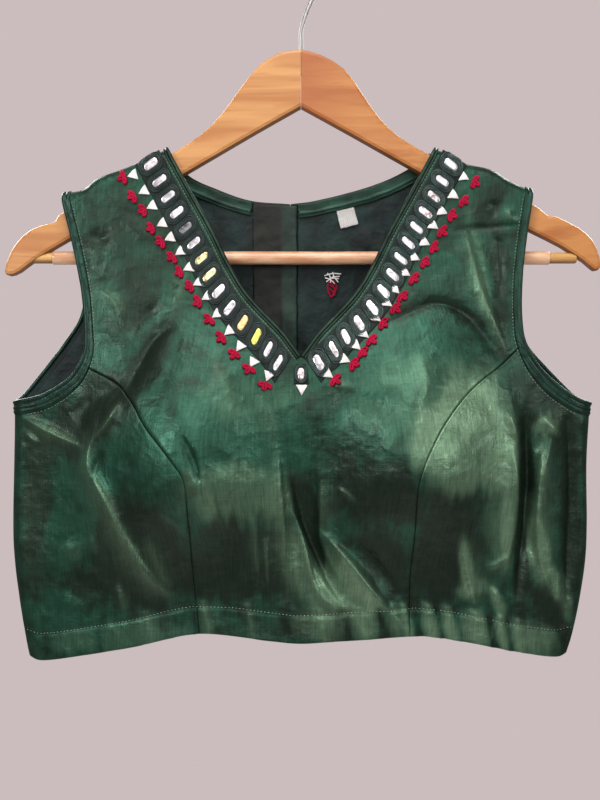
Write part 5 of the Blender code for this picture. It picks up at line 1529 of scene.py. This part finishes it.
def edge_stitch_lines():
    """Stitch lines beside the neck bindings and the armhole bands, in that order on each side."""
    lines = []
    for name, sign in SIDES.items():
        neck = EDGES["neck"][name]
        runs = np.arange(9.0, neck.length - 1, BINDING_STITCH_PITCH)
        off = BINDING_STITCH_OFF + 0 * runs
        lines.append(edge_points("front", neck, runs, sign, off, STITCH_LIFT + 0 * runs))
        for face in FACES:
            hole = EDGES[f"armhole_{face}"][name]
            runs = np.arange(10.0, hole.length - 9.0, BINDING_STITCH_PITCH)
            low = toward_underarm(runs, hole.length)
            off = lerp(BAND_WIDTH_AT_SHOULDER, BAND_WIDTH_AT_UNDERARM, low) + BAND_STITCH_OFF
            lines.append(edge_points(face, hole, runs, -sign, off, STITCH_LIFT + 0 * runs))
    return lines


def label_stitch_line():
    x, z = label_place(np.linspace(-5.6, 5.6, 6), np.full(6, 1.2 - LABEL_SIZE / 2))
    return cloth_points("back", x, z, INNER_LAYER + 0.75)


# ==== hanger
ROUND_SIDES = 40
BAR_Z, BAR_RADIUS, BAR_END_X = -233.0, 4.1, 205.0
SLEEVE_RADIUS, SLEEVE_END_X = 4.9, 184.5
WIRE_RADIUS, WIRE_SIDES, HOOK_RADIUS = 1.5, 16, 18.5
WIRE_END_PARTS = (0.92, 0.55)
HOOK_JOIN_ANGLE, HOOK_END_ANGLE = radians(-35), radians(200)
HOOK_LEAVE, HOOK_ARRIVE = 26.0, 30.0
SHANK_BOTTOM_Z, SHANK_STRAIGHT_Z = -97.0, -66.0


def bar_rings(half, middle):
    """Rings of a round piece along the bar's line, from (x, radius) for its right end and its even middle."""
    angle = round_angles(ROUND_SIDES)
    stations = [(-x, radius) for x, radius in half[::-1]] + middle + half
    rings = []
    for x, radius in stations:
        y, z = radius * np.cos(angle), BAR_Z + radius * np.sin(angle)
        rings.append(np.stack([x + 0 * angle, y, z], axis=1))
    return np.array(rings)


def trouser_bar():
    end, r = BAR_END_X, BAR_RADIUS
    middle = [(x, r) for x in np.linspace(-end + 1.3, end - 1.3, 40)]
    rings = bar_rings([(end - 1.2, r), (end - 0.4, r - 0.4), (end, r - 1.1)], middle)
    return sweep("trouser_bar_rod", [rings], bar_wood)


def bar_sleeve():
    """A thin tube, closed from its outer skin round to its bore."""
    end, r = SLEEVE_END_X, SLEEVE_RADIUS
    middle = [(x, r) for x in np.linspace(-end + 2, end - 2, 60)]
    rings = bar_rings([(end - 0.15, r), (end, r - 0.1), (end, BAR_RADIUS + GAP)], middle)
    index = np.arange(rings.size // 3).reshape(rings.shape[:2])
    after, below = np.roll(index, -1, axis=1), np.roll(index, -1, axis=0)
    quads = np.stack([index, after, np.roll(after, -1, axis=0), below], axis=-1).reshape(-1, 4).tolist()
    return new_piece("bar_sleeve_tube", rings.reshape(-1, 3), quads, [sleeve_film])


def hook_line():
    """The wire's centre line: up the shank, out to the right, over and round to its open end."""
    centre_z = WIRE_RADIUS - HOOK_RADIUS
    shank = [(0.0, z) for z in np.linspace(SHANK_BOTTOM_Z, SHANK_STRAIGHT_Z, 14)]
    join_x = HOOK_RADIUS * cos(HOOK_JOIN_ANGLE)
    join_z = centre_z + HOOK_RADIUS * sin(HOOK_JOIN_ANGLE)
    u = np.linspace(0, 1, 24)[1:-1]
    start = (1 + 2 * u) * (1 - u) ** 2
    end = u * u * (3 - 2 * u)
    leave = u * (1 - u) ** 2 * HOOK_LEAVE
    arrive = u * u * (u - 1) * HOOK_ARRIVE
    bend_x = end * join_x - arrive * sin(HOOK_JOIN_ANGLE)
    bend_z = start * SHANK_STRAIGHT_Z + end * join_z + leave + arrive * cos(HOOK_JOIN_ANGLE)
    angle = np.linspace(HOOK_JOIN_ANGLE, HOOK_END_ANGLE, 60)
    arc = np.stack([HOOK_RADIUS * np.cos(angle), centre_z + HOOK_RADIUS * np.sin(angle)], axis=1)
    return np.vstack([shank, np.stack([bend_x, bend_z], axis=1), arc])


def hanger_hook():
    x, z = hook_line().T
    way_x, way_z = np.gradient(x), np.gradient(z)
    size = np.hypot(way_x, way_z)
    angle = round_angles(WIRE_SIDES)
    radius = np.full(len(x), WIRE_RADIUS)
    radius[-2:] = WIRE_RADIUS * np.array(WIRE_END_PARTS)
    flat, deep = np.cos(angle) * radius[:, None], np.sin(angle) * radius[:, None]
    across_x, across_z = (way_z / size)[:, None], (-way_x / size)[:, None]
    rings = np.stack([x[:, None] + across_x * flat, deep, z[:, None] + across_z * flat], axis=-1)
    return sweep("hanger_hook_wire", [rings], steel_wire)


# ==== finishes
def new_shader_group(name, size, outputs):
    """A shader group with a place and a named size in, and numbers out."""
    inputs = [("Vector", "Vector"), (size[0], "Float", size[1])]
    return new_tree(name, "ShaderNodeTree", inputs, [(label, "Float") for label in outputs])


def weave_group():
    """Woven cloth: fine crossing threads with thicker slubs running one way."""
    n, given, out = new_shader_group("shot weave", ("Threads", 900.0), ("Height", "Slub"))
    scaled = n.scaled(given["Vector"], given["Threads"])
    slub = n.noise(n.stretched(scaled, (1.0, 0.05, 1.0)), 1.0, 4.0, 0.6)
    cross = n.noise(n.stretched(scaled, (0.06, 1.0, 1.0)), 1.0, 3.0, 0.6)
    n.feed(out["Height"], n.plus(slub, n.times(cross, 0.6)))
    n.feed(out["Slub"], n.plus(n.times(slub, 0.75), n.times(cross, 0.25)))
    return n.tree


def crinkle_group():
    """Sharp little creases that handling leaves in thin satin."""
    n, given, out = new_shader_group("crinkle", ("Scale", 60.0), ("Height",))
    bent = n.noise(given["Vector"], given["Scale"], 2.0, 0.5, 0.25)
    fold = n.math("ABSOLUTE", n.math("SUBTRACT", bent, 0.5))
    fine = n.noise(given["Vector"], n.times(given["Scale"], 3.1), 2.0, 0.5, 0.4)
    n.feed(out["Height"], n.plus(n.times(fold, -2.0), n.times(fine, 0.5)))
    return n.tree


def yarn_group():
    """Twisted yarn: its height, and a light-and-dark mask of its plies."""
    n, given, out = new_shader_group("yarn", ("Plies", 900.0), ("Height", "Shade"))
    ply = n.noise(given["Vector"], given["Plies"], 1.0, 0.5, 0.5)
    patch = n.noise(given["Vector"], 140.0, 2.0)
    n.feed(out["Height"], ply)
    n.feed(out["Shade"], n.plus(n.times(ply, 0.5), n.times(patch, 0.5)))
    return n.tree


def grain_group():
    """Wood grain along one way: long streaks and finer pores."""
    n, given, out = new_shader_group("wood grain", ("Streaks", 60.0), ("Streak", "Pore"))
    n.feed(out["Streak"], n.noise(given["Vector"], given["Streaks"], 3.0, 0.6, 1.2))
    n.feed(out["Pore"], n.noise(given["Vector"], n.times(given["Streaks"], 6.0), 2.0, 0.6, 0.4))
    return n.tree


WEAVE, CRINKLE, YARN, GRAIN = weave_group(), crinkle_group(), yarn_group(), grain_group()


def new_finish(name, looks):
    """A material with its own shader, whose plain values are given by socket name."""
    finish = bpy.data.materials.new(name)
    finish.use_nodes = True
    n = Nodes(finish.node_tree)
    shader = next(node for node in finish.node_tree.nodes if node.type == "BSDF_PRINCIPLED")
    for label, value in looks.items():
        n.feed(shader.inputs[label], value)
    return finish, n, shader


def cover(n, shader, colour, bumps):
    """Gives a shader its colour, and bumps one over another: (height, distance in metres, strength)."""
    n.feed(shader.inputs["Base Color"], colour)
    for height, distance, strength in bumps:
        bump = n.add("ShaderNodeBump", {"Distance": distance, "Strength": strength, "Height": height})
        if shader.inputs["Normal"].is_linked:
            n.feed(bump.inputs["Normal"], shader.inputs["Normal"].links[0].from_socket)
        n.feed(shader.inputs["Normal"], bump.outputs["Normal"])


SATIN_ROUGHNESS = 0.37


def satin_finish(name, dark, teal, straw_highlight_colour, crumple_by=1.0):
    """Shot tissue satin: dark warp and teal weft in random clouds, with painted shade, sheen and straw
    highlight.
    """
    finish, n, shader = new_finish(name, {"Metallic": 0.6, "Specular IOR Level": 0.3})
    place, cut = n.object_place(), n.cloth_place()
    weave = n.group(WEAVE, Vector=cut)
    broad = n.noise(place, 38.0, 3.0, 0.6, 0.6)
    patch = n.noise(place, 120.0, 2.0, 0.5, 0.3)
    # The teal values darken toward the dark warp as painted shade and lighten toward the teal weft as painted
    # sheen; noise clouds vary it too.
    teal_and_painted_shade = n.plus(n.times(n.value_of("teal"), 0.42), 0.5)
    teal_and_painted_shade = n.plus(teal_and_painted_shade, n.times(n.math("SUBTRACT", broad, 0.5), 1.1))
    teal_and_painted_shade = n.plus(teal_and_painted_shade, n.times(n.math("SUBTRACT", patch, 0.5), 0.5), clamp=True)
    weft = n.between(teal_and_painted_shade, 0.12, 0.88, dark, teal)
    # The pale values mix in the straw colour as a painted highlight.
    painted_highlight_amount = n.times(n.value_of("pale"), n.plus(broad, 0.45), clamp=True)
    lit = n.scaled(n.mix(painted_highlight_amount, weft, straw_highlight_colour), n.ramp(weave["Slub"], 0.32, 0.68, 0.8, 1.22))
    rough = n.ramp(patch, 0.3, 0.7, SATIN_ROUGHNESS - 0.05, SATIN_ROUGHNESS + 0.07)
    n.feed(shader.inputs["Roughness"], rough)
    cover(n, shader, lit, [
        (n.group(CRINKLE, Vector=place)["Height"], 0.0008 * crumple_by, 0.7),
        (n.noise(cut, 420.0, 3.0, 0.6), 0.0002, 0.5),
        (weave["Height"], 0.00025, 0.45),
    ])
    return finish


def dull_cloth(name, dark, light, roughness=0.75, crinkle_by=0.6):
    finish, n, shader = new_finish(name, {"Roughness": roughness, "Specular IOR Level": 0.3})
    place = n.object_place()
    crinkle, weave = n.group(CRINKLE, Vector=place), n.group(WEAVE, Vector=n.cloth_place())
    bumps = [(crinkle["Height"], 0.001 * crinkle_by, 0.7), (weave["Height"], 0.00008, 0.5)]
    cover(n, shader, n.between(n.noise(place, 70.0, 3.0), 0.3, 0.7, dark, light), bumps)
    return finish


def thread_finish(name, dark, light, roughness=0.55, gloss=0.5):
    finish, n, shader = new_finish(name, {"Roughness": roughness, "Specular IOR Level": gloss})
    yarn = n.group(YARN, Vector=n.object_place())
    cover(n, shader, n.between(yarn["Shade"], 0.35, 0.65, dark, light), [(yarn["Height"], 0.00025, 0.7)])
    return finish


def placket_finish():
    """Brownish underlap, with its seam band in green satin."""
    looks = {"Metallic": 0.1, "Roughness": 0.55, "Specular IOR Level": 0.3}
    finish, n, shader = new_finish("placket satin", looks)
    place = n.object_place()
    brown = n.between(n.noise(place, 50.0, 3.0), 0.3, 0.7, (0.006, 0.0065, 0.005), (0.015, 0.0155, 0.0115))
    green = n.between(n.noise(place, 80.0, 3.0), 0.3, 0.7, (0.01, 0.02, 0.015), (0.02, 0.045, 0.031))
    crinkle, weave = n.group(CRINKLE, Vector=place), n.group(WEAVE, Vector=n.cloth_place())
    bumps = [(crinkle["Height"], 0.0008, 0.7), (weave["Height"], 0.00006, 0.4)]
    cover(n, shader, n.mix(n.value_of("teal"), brown, green), bumps)
    return finish


def label_finish():
    finish, n, shader = new_finish("label tape", {"Roughness": 0.6})
    weave = n.group(WEAVE, Vector=n.cloth_place(), Threads=1500.0)
    cloth = n.between(weave["Slub"], 0.3, 0.7, (0.42, 0.40, 0.38), (0.6, 0.58, 0.56))
    cover(n, shader, cloth, [(weave["Height"], 0.00008, 0.5)])
    return finish


# Colours of the mirrors: where a cloud goes from the first colour to the second, and from which tint
# value to which the colour comes in over the ones before it.
MIRROR_CLOUD_COLOURS = [
    ((0.4, 0.6), (0.36, 0.22, 0.22), (0.85, 0.8, 0.82), (0.18, 0.28)),
    ((0.5, 0.62), (0.85, 0.82, 0.45), (0.4, 0.25, 0.1), (0.34, 0.4)),
    ((0.4, 0.6), (0.85, 0.5, 0.22), (0.6, 0.3, 0.12), (0.45, 0.49)),
    ((0.3, 0.7), (0.85, 0.72, 0.1), (0.95, 0.86, 0.25), (0.54, 0.58)),
    ((0.3, 0.7), (0.12, 0.12, 0.13), (0.3, 0.28, 0.3), (0.66, 0.72)),
]


def mirror_finish():
    """Small cut mirrors: mostly pale, some rosy, yellow, golden or grey by their tint value."""
    finish, n, shader = new_finish("mirror glass", {"Metallic": 0.45})
    place, tint = n.object_place(), n.value_of("tint")
    cloud = n.noise(place, 260.0, 2.0, 0.5, 0.6)
    seen = n.between(cloud, 0.3, 0.7, (0.62, 0.57, 0.6), (0.88, 0.85, 0.88))
    for cloud_range, first, second, tint_range in MIRROR_CLOUD_COLOURS:
        cloud_colour = n.between(cloud, *cloud_range, first, second)
        seen = n.mix(n.ramp(tint, *tint_range), seen, cloud_colour)
    n.feed(shader.inputs["Roughness"], n.ramp(n.noise(place, 500.0, 2.0), 0.35, 0.7, 0.06, 0.28))
    cover(n, shader, seen, [(n.noise(place, 180.0, 1.0), 0.0004, 0.35)])
    return finish


def wood_finish(name, deep, mid, pale, turn, streaks=55.0, rosy=0.0):
    """Lacquered wood with slanting grain, painted shade in brown-red on its underside, and if rosy, brown-red
    near the joint.
    """
    looks = {"Roughness": 0.38, "Specular IOR Level": 0.35, "Coat Weight": 0.12, "Coat Roughness": 0.35}
    finish, n, shader = new_finish(name, looks)
    place = n.object_place()
    grain = n.group(GRAIN, Vector=n.stretched(place, (0.12, 0.6, 1.0), (0.0, turn, 0.0)), Streaks=streaks)
    shade = n.mix(0.35, n.between(grain["Streak"], 0.32, 0.68, deep, pale), mid)
    shade = n.mix(n.ramp(grain["Pore"], 0.58, 0.75, 0.0, 0.35), shade, deep)
    # Painted shade: faces that turn downward are darkened toward brown-red.
    facing = n.axis(n.add("ShaderNodeNewGeometry").outputs["Normal"], "Z")
    shade = n.mix(n.times(n.ramp(facing, -0.25, -0.85), 0.75), shade, (0.16, 0.05, 0.02))
    if rosy:
        near_joint = n.ramp(n.axis(place, "X"), 0.05, 0.0, 0.0, rosy)
        shade = n.mix(near_joint, shade, (0.42, 0.115, 0.03))
    cover(n, shader, shade, [(grain["Pore"], 0.00009, 0.4), (n.noise(place, 300.0, 2.0), 0.00004, 0.3)])
    return finish


def sleeve_finish():
    """Cloudy peach plastic tube over the bar."""
    looks = {"Roughness": 0.3, "Coat Weight": 0.5, "Coat Roughness": 0.12}
    finish, n, shader = new_finish("bar sleeve film", looks)
    streak = n.noise(n.stretched(n.object_place(), (0.2, 1.0, 1.0)), 160.0, 3.0, 0.6)
    film = n.between(streak, 0.35, 0.7, (0.62, 0.28, 0.13), (0.82, 0.5, 0.3))
    cover(n, shader, film, [(streak, 0.0003, 0.5)])
    return finish


def steel_finish():
    finish, n, shader = new_finish("hook steel", {"Metallic": 1.0})
    drawn = n.noise(n.stretched(n.object_place(), (1.0, 1.0, 0.15)), 700.0, 3.0, 0.6)
    n.feed(shader.inputs["Roughness"], n.ramp(drawn, 0.3, 0.7, 0.34, 0.48))
    steel = n.between(drawn, 0.3, 0.7, (0.33, 0.31, 0.3), (0.5, 0.48, 0.47))
    cover(n, shader, steel, [(drawn, 0.00003, 0.3)])
    return finish


# The satin's dark, teal and straw colours; the straw shows only as painted highlight, where the pale values
# are above 0.
satin = satin_finish("shot satin", (0.018, 0.032, 0.021), (0.022, 0.084, 0.052), (0.145, 0.245, 0.15))
# Trims, from their dark, teal and straw highlight colours and how much they are crumpled.
TRIM_SATINS = {
    "neck binding": ((0.012, 0.024, 0.018), (0.03, 0.06, 0.04), (0.1, 0.17, 0.1), 0.4),
    "armhole band": ((0.011, 0.024, 0.018), (0.019, 0.06, 0.041), (0.1, 0.17, 0.11), 0.5),
    "neck facing": ((0.012, 0.024, 0.018), (0.02, 0.06, 0.04), (0.08, 0.12, 0.08), 0.6),
    "back neck roll": ((0.012, 0.014, 0.012), (0.025, 0.04, 0.03), (0.1, 0.12, 0.1), 1.0),
}
binding_satin, band_satin, facing_satin, roll_satin = (
    satin_finish(f"{name} satin", *colours) for name, colours in TRIM_SATINS.items()
)
front_lining = dull_cloth("front lining", (0.006, 0.012, 0.012), (0.012, 0.026, 0.024))
lining = dull_cloth("lining", (0.002, 0.007, 0.0065), (0.006, 0.024, 0.021), 0.6, 1.5)
placket_satin = placket_finish()
label_tape = label_finish()
mirror_glass = mirror_finish()
pad_thread = thread_finish("mirror band thread", (0.003, 0.007, 0.006), (0.009, 0.021, 0.016), gloss=0.22)
# One loop thread on both sides; the left copy has darker colours, as painted shade.
LOOP_THREADS = {
    "left": thread_finish("mirror loop thread, left", (0.005, 0.012, 0.011), (0.02, 0.045, 0.038), 0.42),
    "right": thread_finish("mirror loop thread, right", (0.008, 0.02, 0.018), (0.05, 0.095, 0.08), 0.4),
}
LOOP_THREADS["centre"] = LOOP_THREADS["right"]
white_thread = thread_finish("white thread", (0.8, 0.74, 0.73), (0.95, 0.92, 0.9), 0.8)
red_thread = thread_finish("crimson thread", (0.3, 0.0, 0.022), (0.5, 0.0, 0.042), 0.7, 0.2)
seam_thread = thread_finish("seam thread", (0.14, 0.2, 0.16), (0.3, 0.38, 0.32))
# Deep, middle and pale colours of the hanger's woods.
LEFT_WOOD = ((0.42, 0.15, 0.04), (0.62, 0.26, 0.08), (0.7, 0.36, 0.13))
RIGHT_WOOD = ((0.36, 0.105, 0.022), (0.54, 0.19, 0.045), (0.62, 0.28, 0.085))
BAR_WOOD = ((0.5, 0.24, 0.06), (0.72, 0.4, 0.13), (0.8, 0.48, 0.18))
ARM_WOODS = {
    "hanger_left_arm": wood_finish("hanger wood, left arm", *LEFT_WOOD, radians(-35)),
    "hanger_right_arm": wood_finish("hanger wood, right arm", *RIGHT_WOOD, radians(28), rosy=0.7),
}
bar_wood = wood_finish("bar wood", *BAR_WOOD, 0.0, 90.0)
sleeve_film = sleeve_finish()
steel_wire = steel_finish()


# ==== building
THREAD_TREE, STITCH_TREE = laid_thread_tree(), stitch_tree()


def settle(piece, *nodes):
    """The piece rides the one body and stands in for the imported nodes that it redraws."""
    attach(piece, BODY)
    if nodes:
        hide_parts(*nodes)
    return piece


def on_each_side(make, node_start):
    """A piece for each side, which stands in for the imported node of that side."""
    return {name: settle(make(name), f"{node_start}_{name}") for name in SIDES}


centre = settle(front_centre(), "front_centre")
side_panels = on_each_side(front_side, "front_side")
backs = on_each_side(back, "back")
linings = on_each_side(back_lining, "back_lining")
facings = on_each_side(back_neck_facing, "back_neck_facing")
neck_rolls = {name: settle(back_neck_roll(name)) for name in SIDES}
placket = settle(placket_strip(), "back_placket_strip")
label = settle(size_label(), "size_label")
bindings = on_each_side(neck_binding, "neck_binding")
bands = {}
for name in SIDES:
    for face in FACES:
        bands[name, face] = settle(armhole_band(name, face), f"armhole_band_{name}_{face}")


def embroider(name, run, grid, glass, glass_nodes, frame_node, rounds=None):
    """The mirrors of one run, with their pad, their loops of thread and their bars."""
    tints, thread = MIRROR_TINTS[name], LOOP_THREADS[name]
    pad = band_pad(f"mirror_band_pad_{name}", run, len(tints) - 1, grid)
    made = [settle(mirrors(glass, run, tints), *glass_nodes), settle(pad, frame_node)]
    loops = mirror_loops(run, len(tints))[:rounds]
    made.append(settle(laid_threads(f"mirror_loops_{name}", loops, thread, LOOP_RADIUS, closed=True)))
    bars = mirror_bars(run, len(tints))
    bar_piece = laid_threads(f"mirror_bars_{name}", bars, thread, BAR_THREAD_RADIUS, 4, thick=BAR_THICK)
    return [*made, settle(bar_piece)]


embroidery = []
for name in SIDES:
    glass_nodes = [f"mirror_{name}_{u + 1:02d}" for u in range(MIRRORS_A_SIDE)]
    grid = band_grid(MIRRORS_A_SIDE - 1)
    embroidery += embroider(
        name, MirrorRun(name), grid, f"mirrors_{name}", glass_nodes, f"mirror_frames_{name}"
    )
embroidery += embroider(
    "centre", CentreRun(), centre_grid(), "mirror_centre_oval", ["mirror_centre"], "mirror_frame_centre", 2
)
for name, motifs in MOTIFS.items():
    wedges = [line for motif in motifs for line in triangle(motif)]
    wedge_piece = laid_threads(f"white_triangles_{name}", wedges, white_thread, 0.5, thick=TRIANGLE_THICK)
    embroidery.append(settle(wedge_piece))
    if name in SIDES:
        petals = [line for motif in motifs for line in trefoil(motif)]
        petal_piece = laid_threads(f"red_trefoils_{name}", petals, red_thread, 1.05, thick=PETAL_THICK)
        embroidery.append(settle(petal_piece))

hem_lines = {}
for face in FACES:
    line = [hem_stitch_line(face)]
    hem_lines[face] = settle(stitches(f"hem_stitches_{face}", line, seam_thread, 1.7, 0.55))
edge_line = settle(stitches("edge_stitches", edge_stitch_lines(), seam_thread, 1.5, 0.5))
knots = []
for name, lines, thread in (("knot_white", KNOT_WHITE, white_thread), ("knot_red", KNOT_RED, red_thread)):
    knots.append(settle(laid_threads(name, [knot_thread(line) for line in lines], thread, 0.5)))
label_line = settle(stitches("label_stitches", [label_stitch_line()], white_thread, 1.5, 0.45))

settle(trouser_bar(), "trouser_bar")
settle(bar_sleeve(), "bar_sleeve")
settle(hanger_hook(), "hanger_hook")
for node, finish in ARM_WOODS.items():
    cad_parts[node].data.materials[0] = finish

# ---- what each sheet was cut to
ARMS = ["hanger_left_arm", "hanger_right_arm"]


def cut(piece, width, length, area, rests_on, with_pieces=(), held="hung"):
    """Takes a cloth piece's cut and does nothing with it: width, length, area and held are not used."""
    list(with_pieces)
    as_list(rests_on)


front_trims = [bindings["left"], bindings["right"], bands["left", "front"], bands["right", "front"]]
cut(centre, 0.360, 0.380, 0.0765, ARMS, [*embroidery, *front_trims, hem_lines["front"], edge_line])
cut(side_panels["left"], 0.150, 0.235, 0.0270, [centre])
cut(side_panels["right"], 0.148, 0.245, 0.0292, [centre])
cut(backs["left"], 0.212, 0.385, 0.0656, ARMS, [bands["left", "back"], hem_lines["back"]])
cut(backs["right"], 0.229, 0.385, 0.0705, ARMS, [bands["right", "back"]])
cut(linings["left"], 0.204, 0.358, 0.0580, [backs["left"]])
cut(linings["right"], 0.216, 0.357, 0.0609, [backs["right"]], knots)
cut(facings["left"], 0.078, 0.0105, 0.0008, [backs["left"]], [neck_rolls["left"]], held="folded")
cut(facings["right"], 0.114, 0.0105, 0.00118, [backs["right"]], [neck_rolls["right"]], held="folded")
cut(placket, 0.034, 0.322, 0.0109, [backs["left"]])
cut(label, 0.0135, 0.0135, 0.00018, [linings["right"]], [label_line])

# ==== camera, stage and lights
CAMERA_PLACE = (-0.000745, -0.82, -0.33875)
LENS = 49.53
camera_data = bpy.data.cameras.new("front view")
camera_data.sensor_fit = "VERTICAL"
camera_data.sensor_height = 36.0
camera_data.lens = LENS
camera = new_object("front view", camera_data)
camera.location = CAMERA_PLACE
camera.rotation_euler = (pi / 2, 0.0, 0.0)
bpy.context.scene.camera = camera


FLOOR_Z, FLOOR_RADIUS, FLOOR_SIDES = -1.8, 3.1, 96
FLOOR_FADE = (0.8, 2.8)
FLOOR_COLOUR = (0.76, 0.665, 0.665)


def floor():
    """A round pale floor, as far below the hook as a door's top is high, that fades out toward its edge."""
    angle = round_angles(FLOOR_SIDES)
    ring = np.stack([np.cos(angle), np.sin(angle), 0 * angle], axis=-1) * FLOOR_RADIUS + (0, 0, FLOOR_Z)
    looks = {"Roughness": 0.9, "Emission Color": FLOOR_COLOUR, "Emission Strength": 0.45}
    finish, n, shader = new_finish("floor paper", looks)
    mottled = n.mix(n.noise(n.object_place(), 3.0, 2.0), FLOOR_COLOUR, (0.77, 0.675, 0.675))
    n.feed(shader.inputs["Base Color"], mottled)
    flat_place = n.stretched(n.object_place(), (1.0, 1.0, 0.0))
    reach = n.add("ShaderNodeVectorMath", {0: flat_place}, operation="LENGTH").outputs["Value"]
    n.feed(shader.inputs["Alpha"], n.ramp(reach, *FLOOR_FADE, 1.0, 0.0))
    return new_piece("floor", ring / MM, [list(range(FLOOR_SIDES))], [finish])


# Each light's name, place, size, power and tint; all are aimed at the blouse's middle.
BODY_MIDDLE = (0.0, 0.0, -0.36)
WHITE = (1.0, 1.0, 1.0)
LIGHTS = [
    ("window", (0.0, -0.8, 0.62), 0.8, 8.5, (1.0, 0.98, 0.97)),
    ("ceiling", (-0.1, -0.3, 0.8), 0.8, 4.0, WHITE),
    ("left side", (-0.75, -0.95, 0.0), 0.35, 5.0, (0.98, 0.99, 1.0)),
    ("right side", (0.9, -0.8, -0.1), 0.35, 2.5, WHITE),
    ("room front", (0.1, -1.4, 0.0), 0.7, 3.0, WHITE),
    ("back left", (-1.0, 1.1, 0.45), 0.7, 15.0, WHITE),
    ("back right", (1.0, 1.1, 0.5), 0.7, 14.0, WHITE),
]
for name, place, size, power, tint in LIGHTS:
    data = bpy.data.lights.new(name, "AREA")
    data.shape = "SQUARE"
    data.size = size
    data.energy = power
    data.color = tint
    light = new_object(name, data)
    light.location = place
    light.rotation_euler = (Vector(BODY_MIDDLE) - Vector(place)).to_track_quat("-Z", "Y").to_euler()
    light.visible_camera = False

bpy.context.scene.view_settings.view_transform = "Standard"
world = bpy.data.worlds.new("pale room")
world.use_nodes = True
bpy.context.scene.world = world
room = Nodes(world.node_tree)
background = next(node for node in world.node_tree.nodes if node.type == "BACKGROUND")
room.feed(background.inputs["Color"], (0.86, 0.84, 0.85))
room.feed(background.inputs["Strength"], 0.2)
seen_wall = room.add("ShaderNodeBackground", {"Color": (0.597, 0.509, 0.509)})
camera_ray = room.add("ShaderNodeLightPath").outputs["Is Camera Ray"]
feeds = {"Fac": camera_ray, 1: background.outputs["Background"], 2: seen_wall.outputs["Background"]}
either = room.add("ShaderNodeMixShader", feeds)
wall_end = next(node for node in world.node_tree.nodes if node.type == "OUTPUT_WORLD")
room.feed(wall_end.inputs["Surface"], either.outputs["Shader"])

floor()
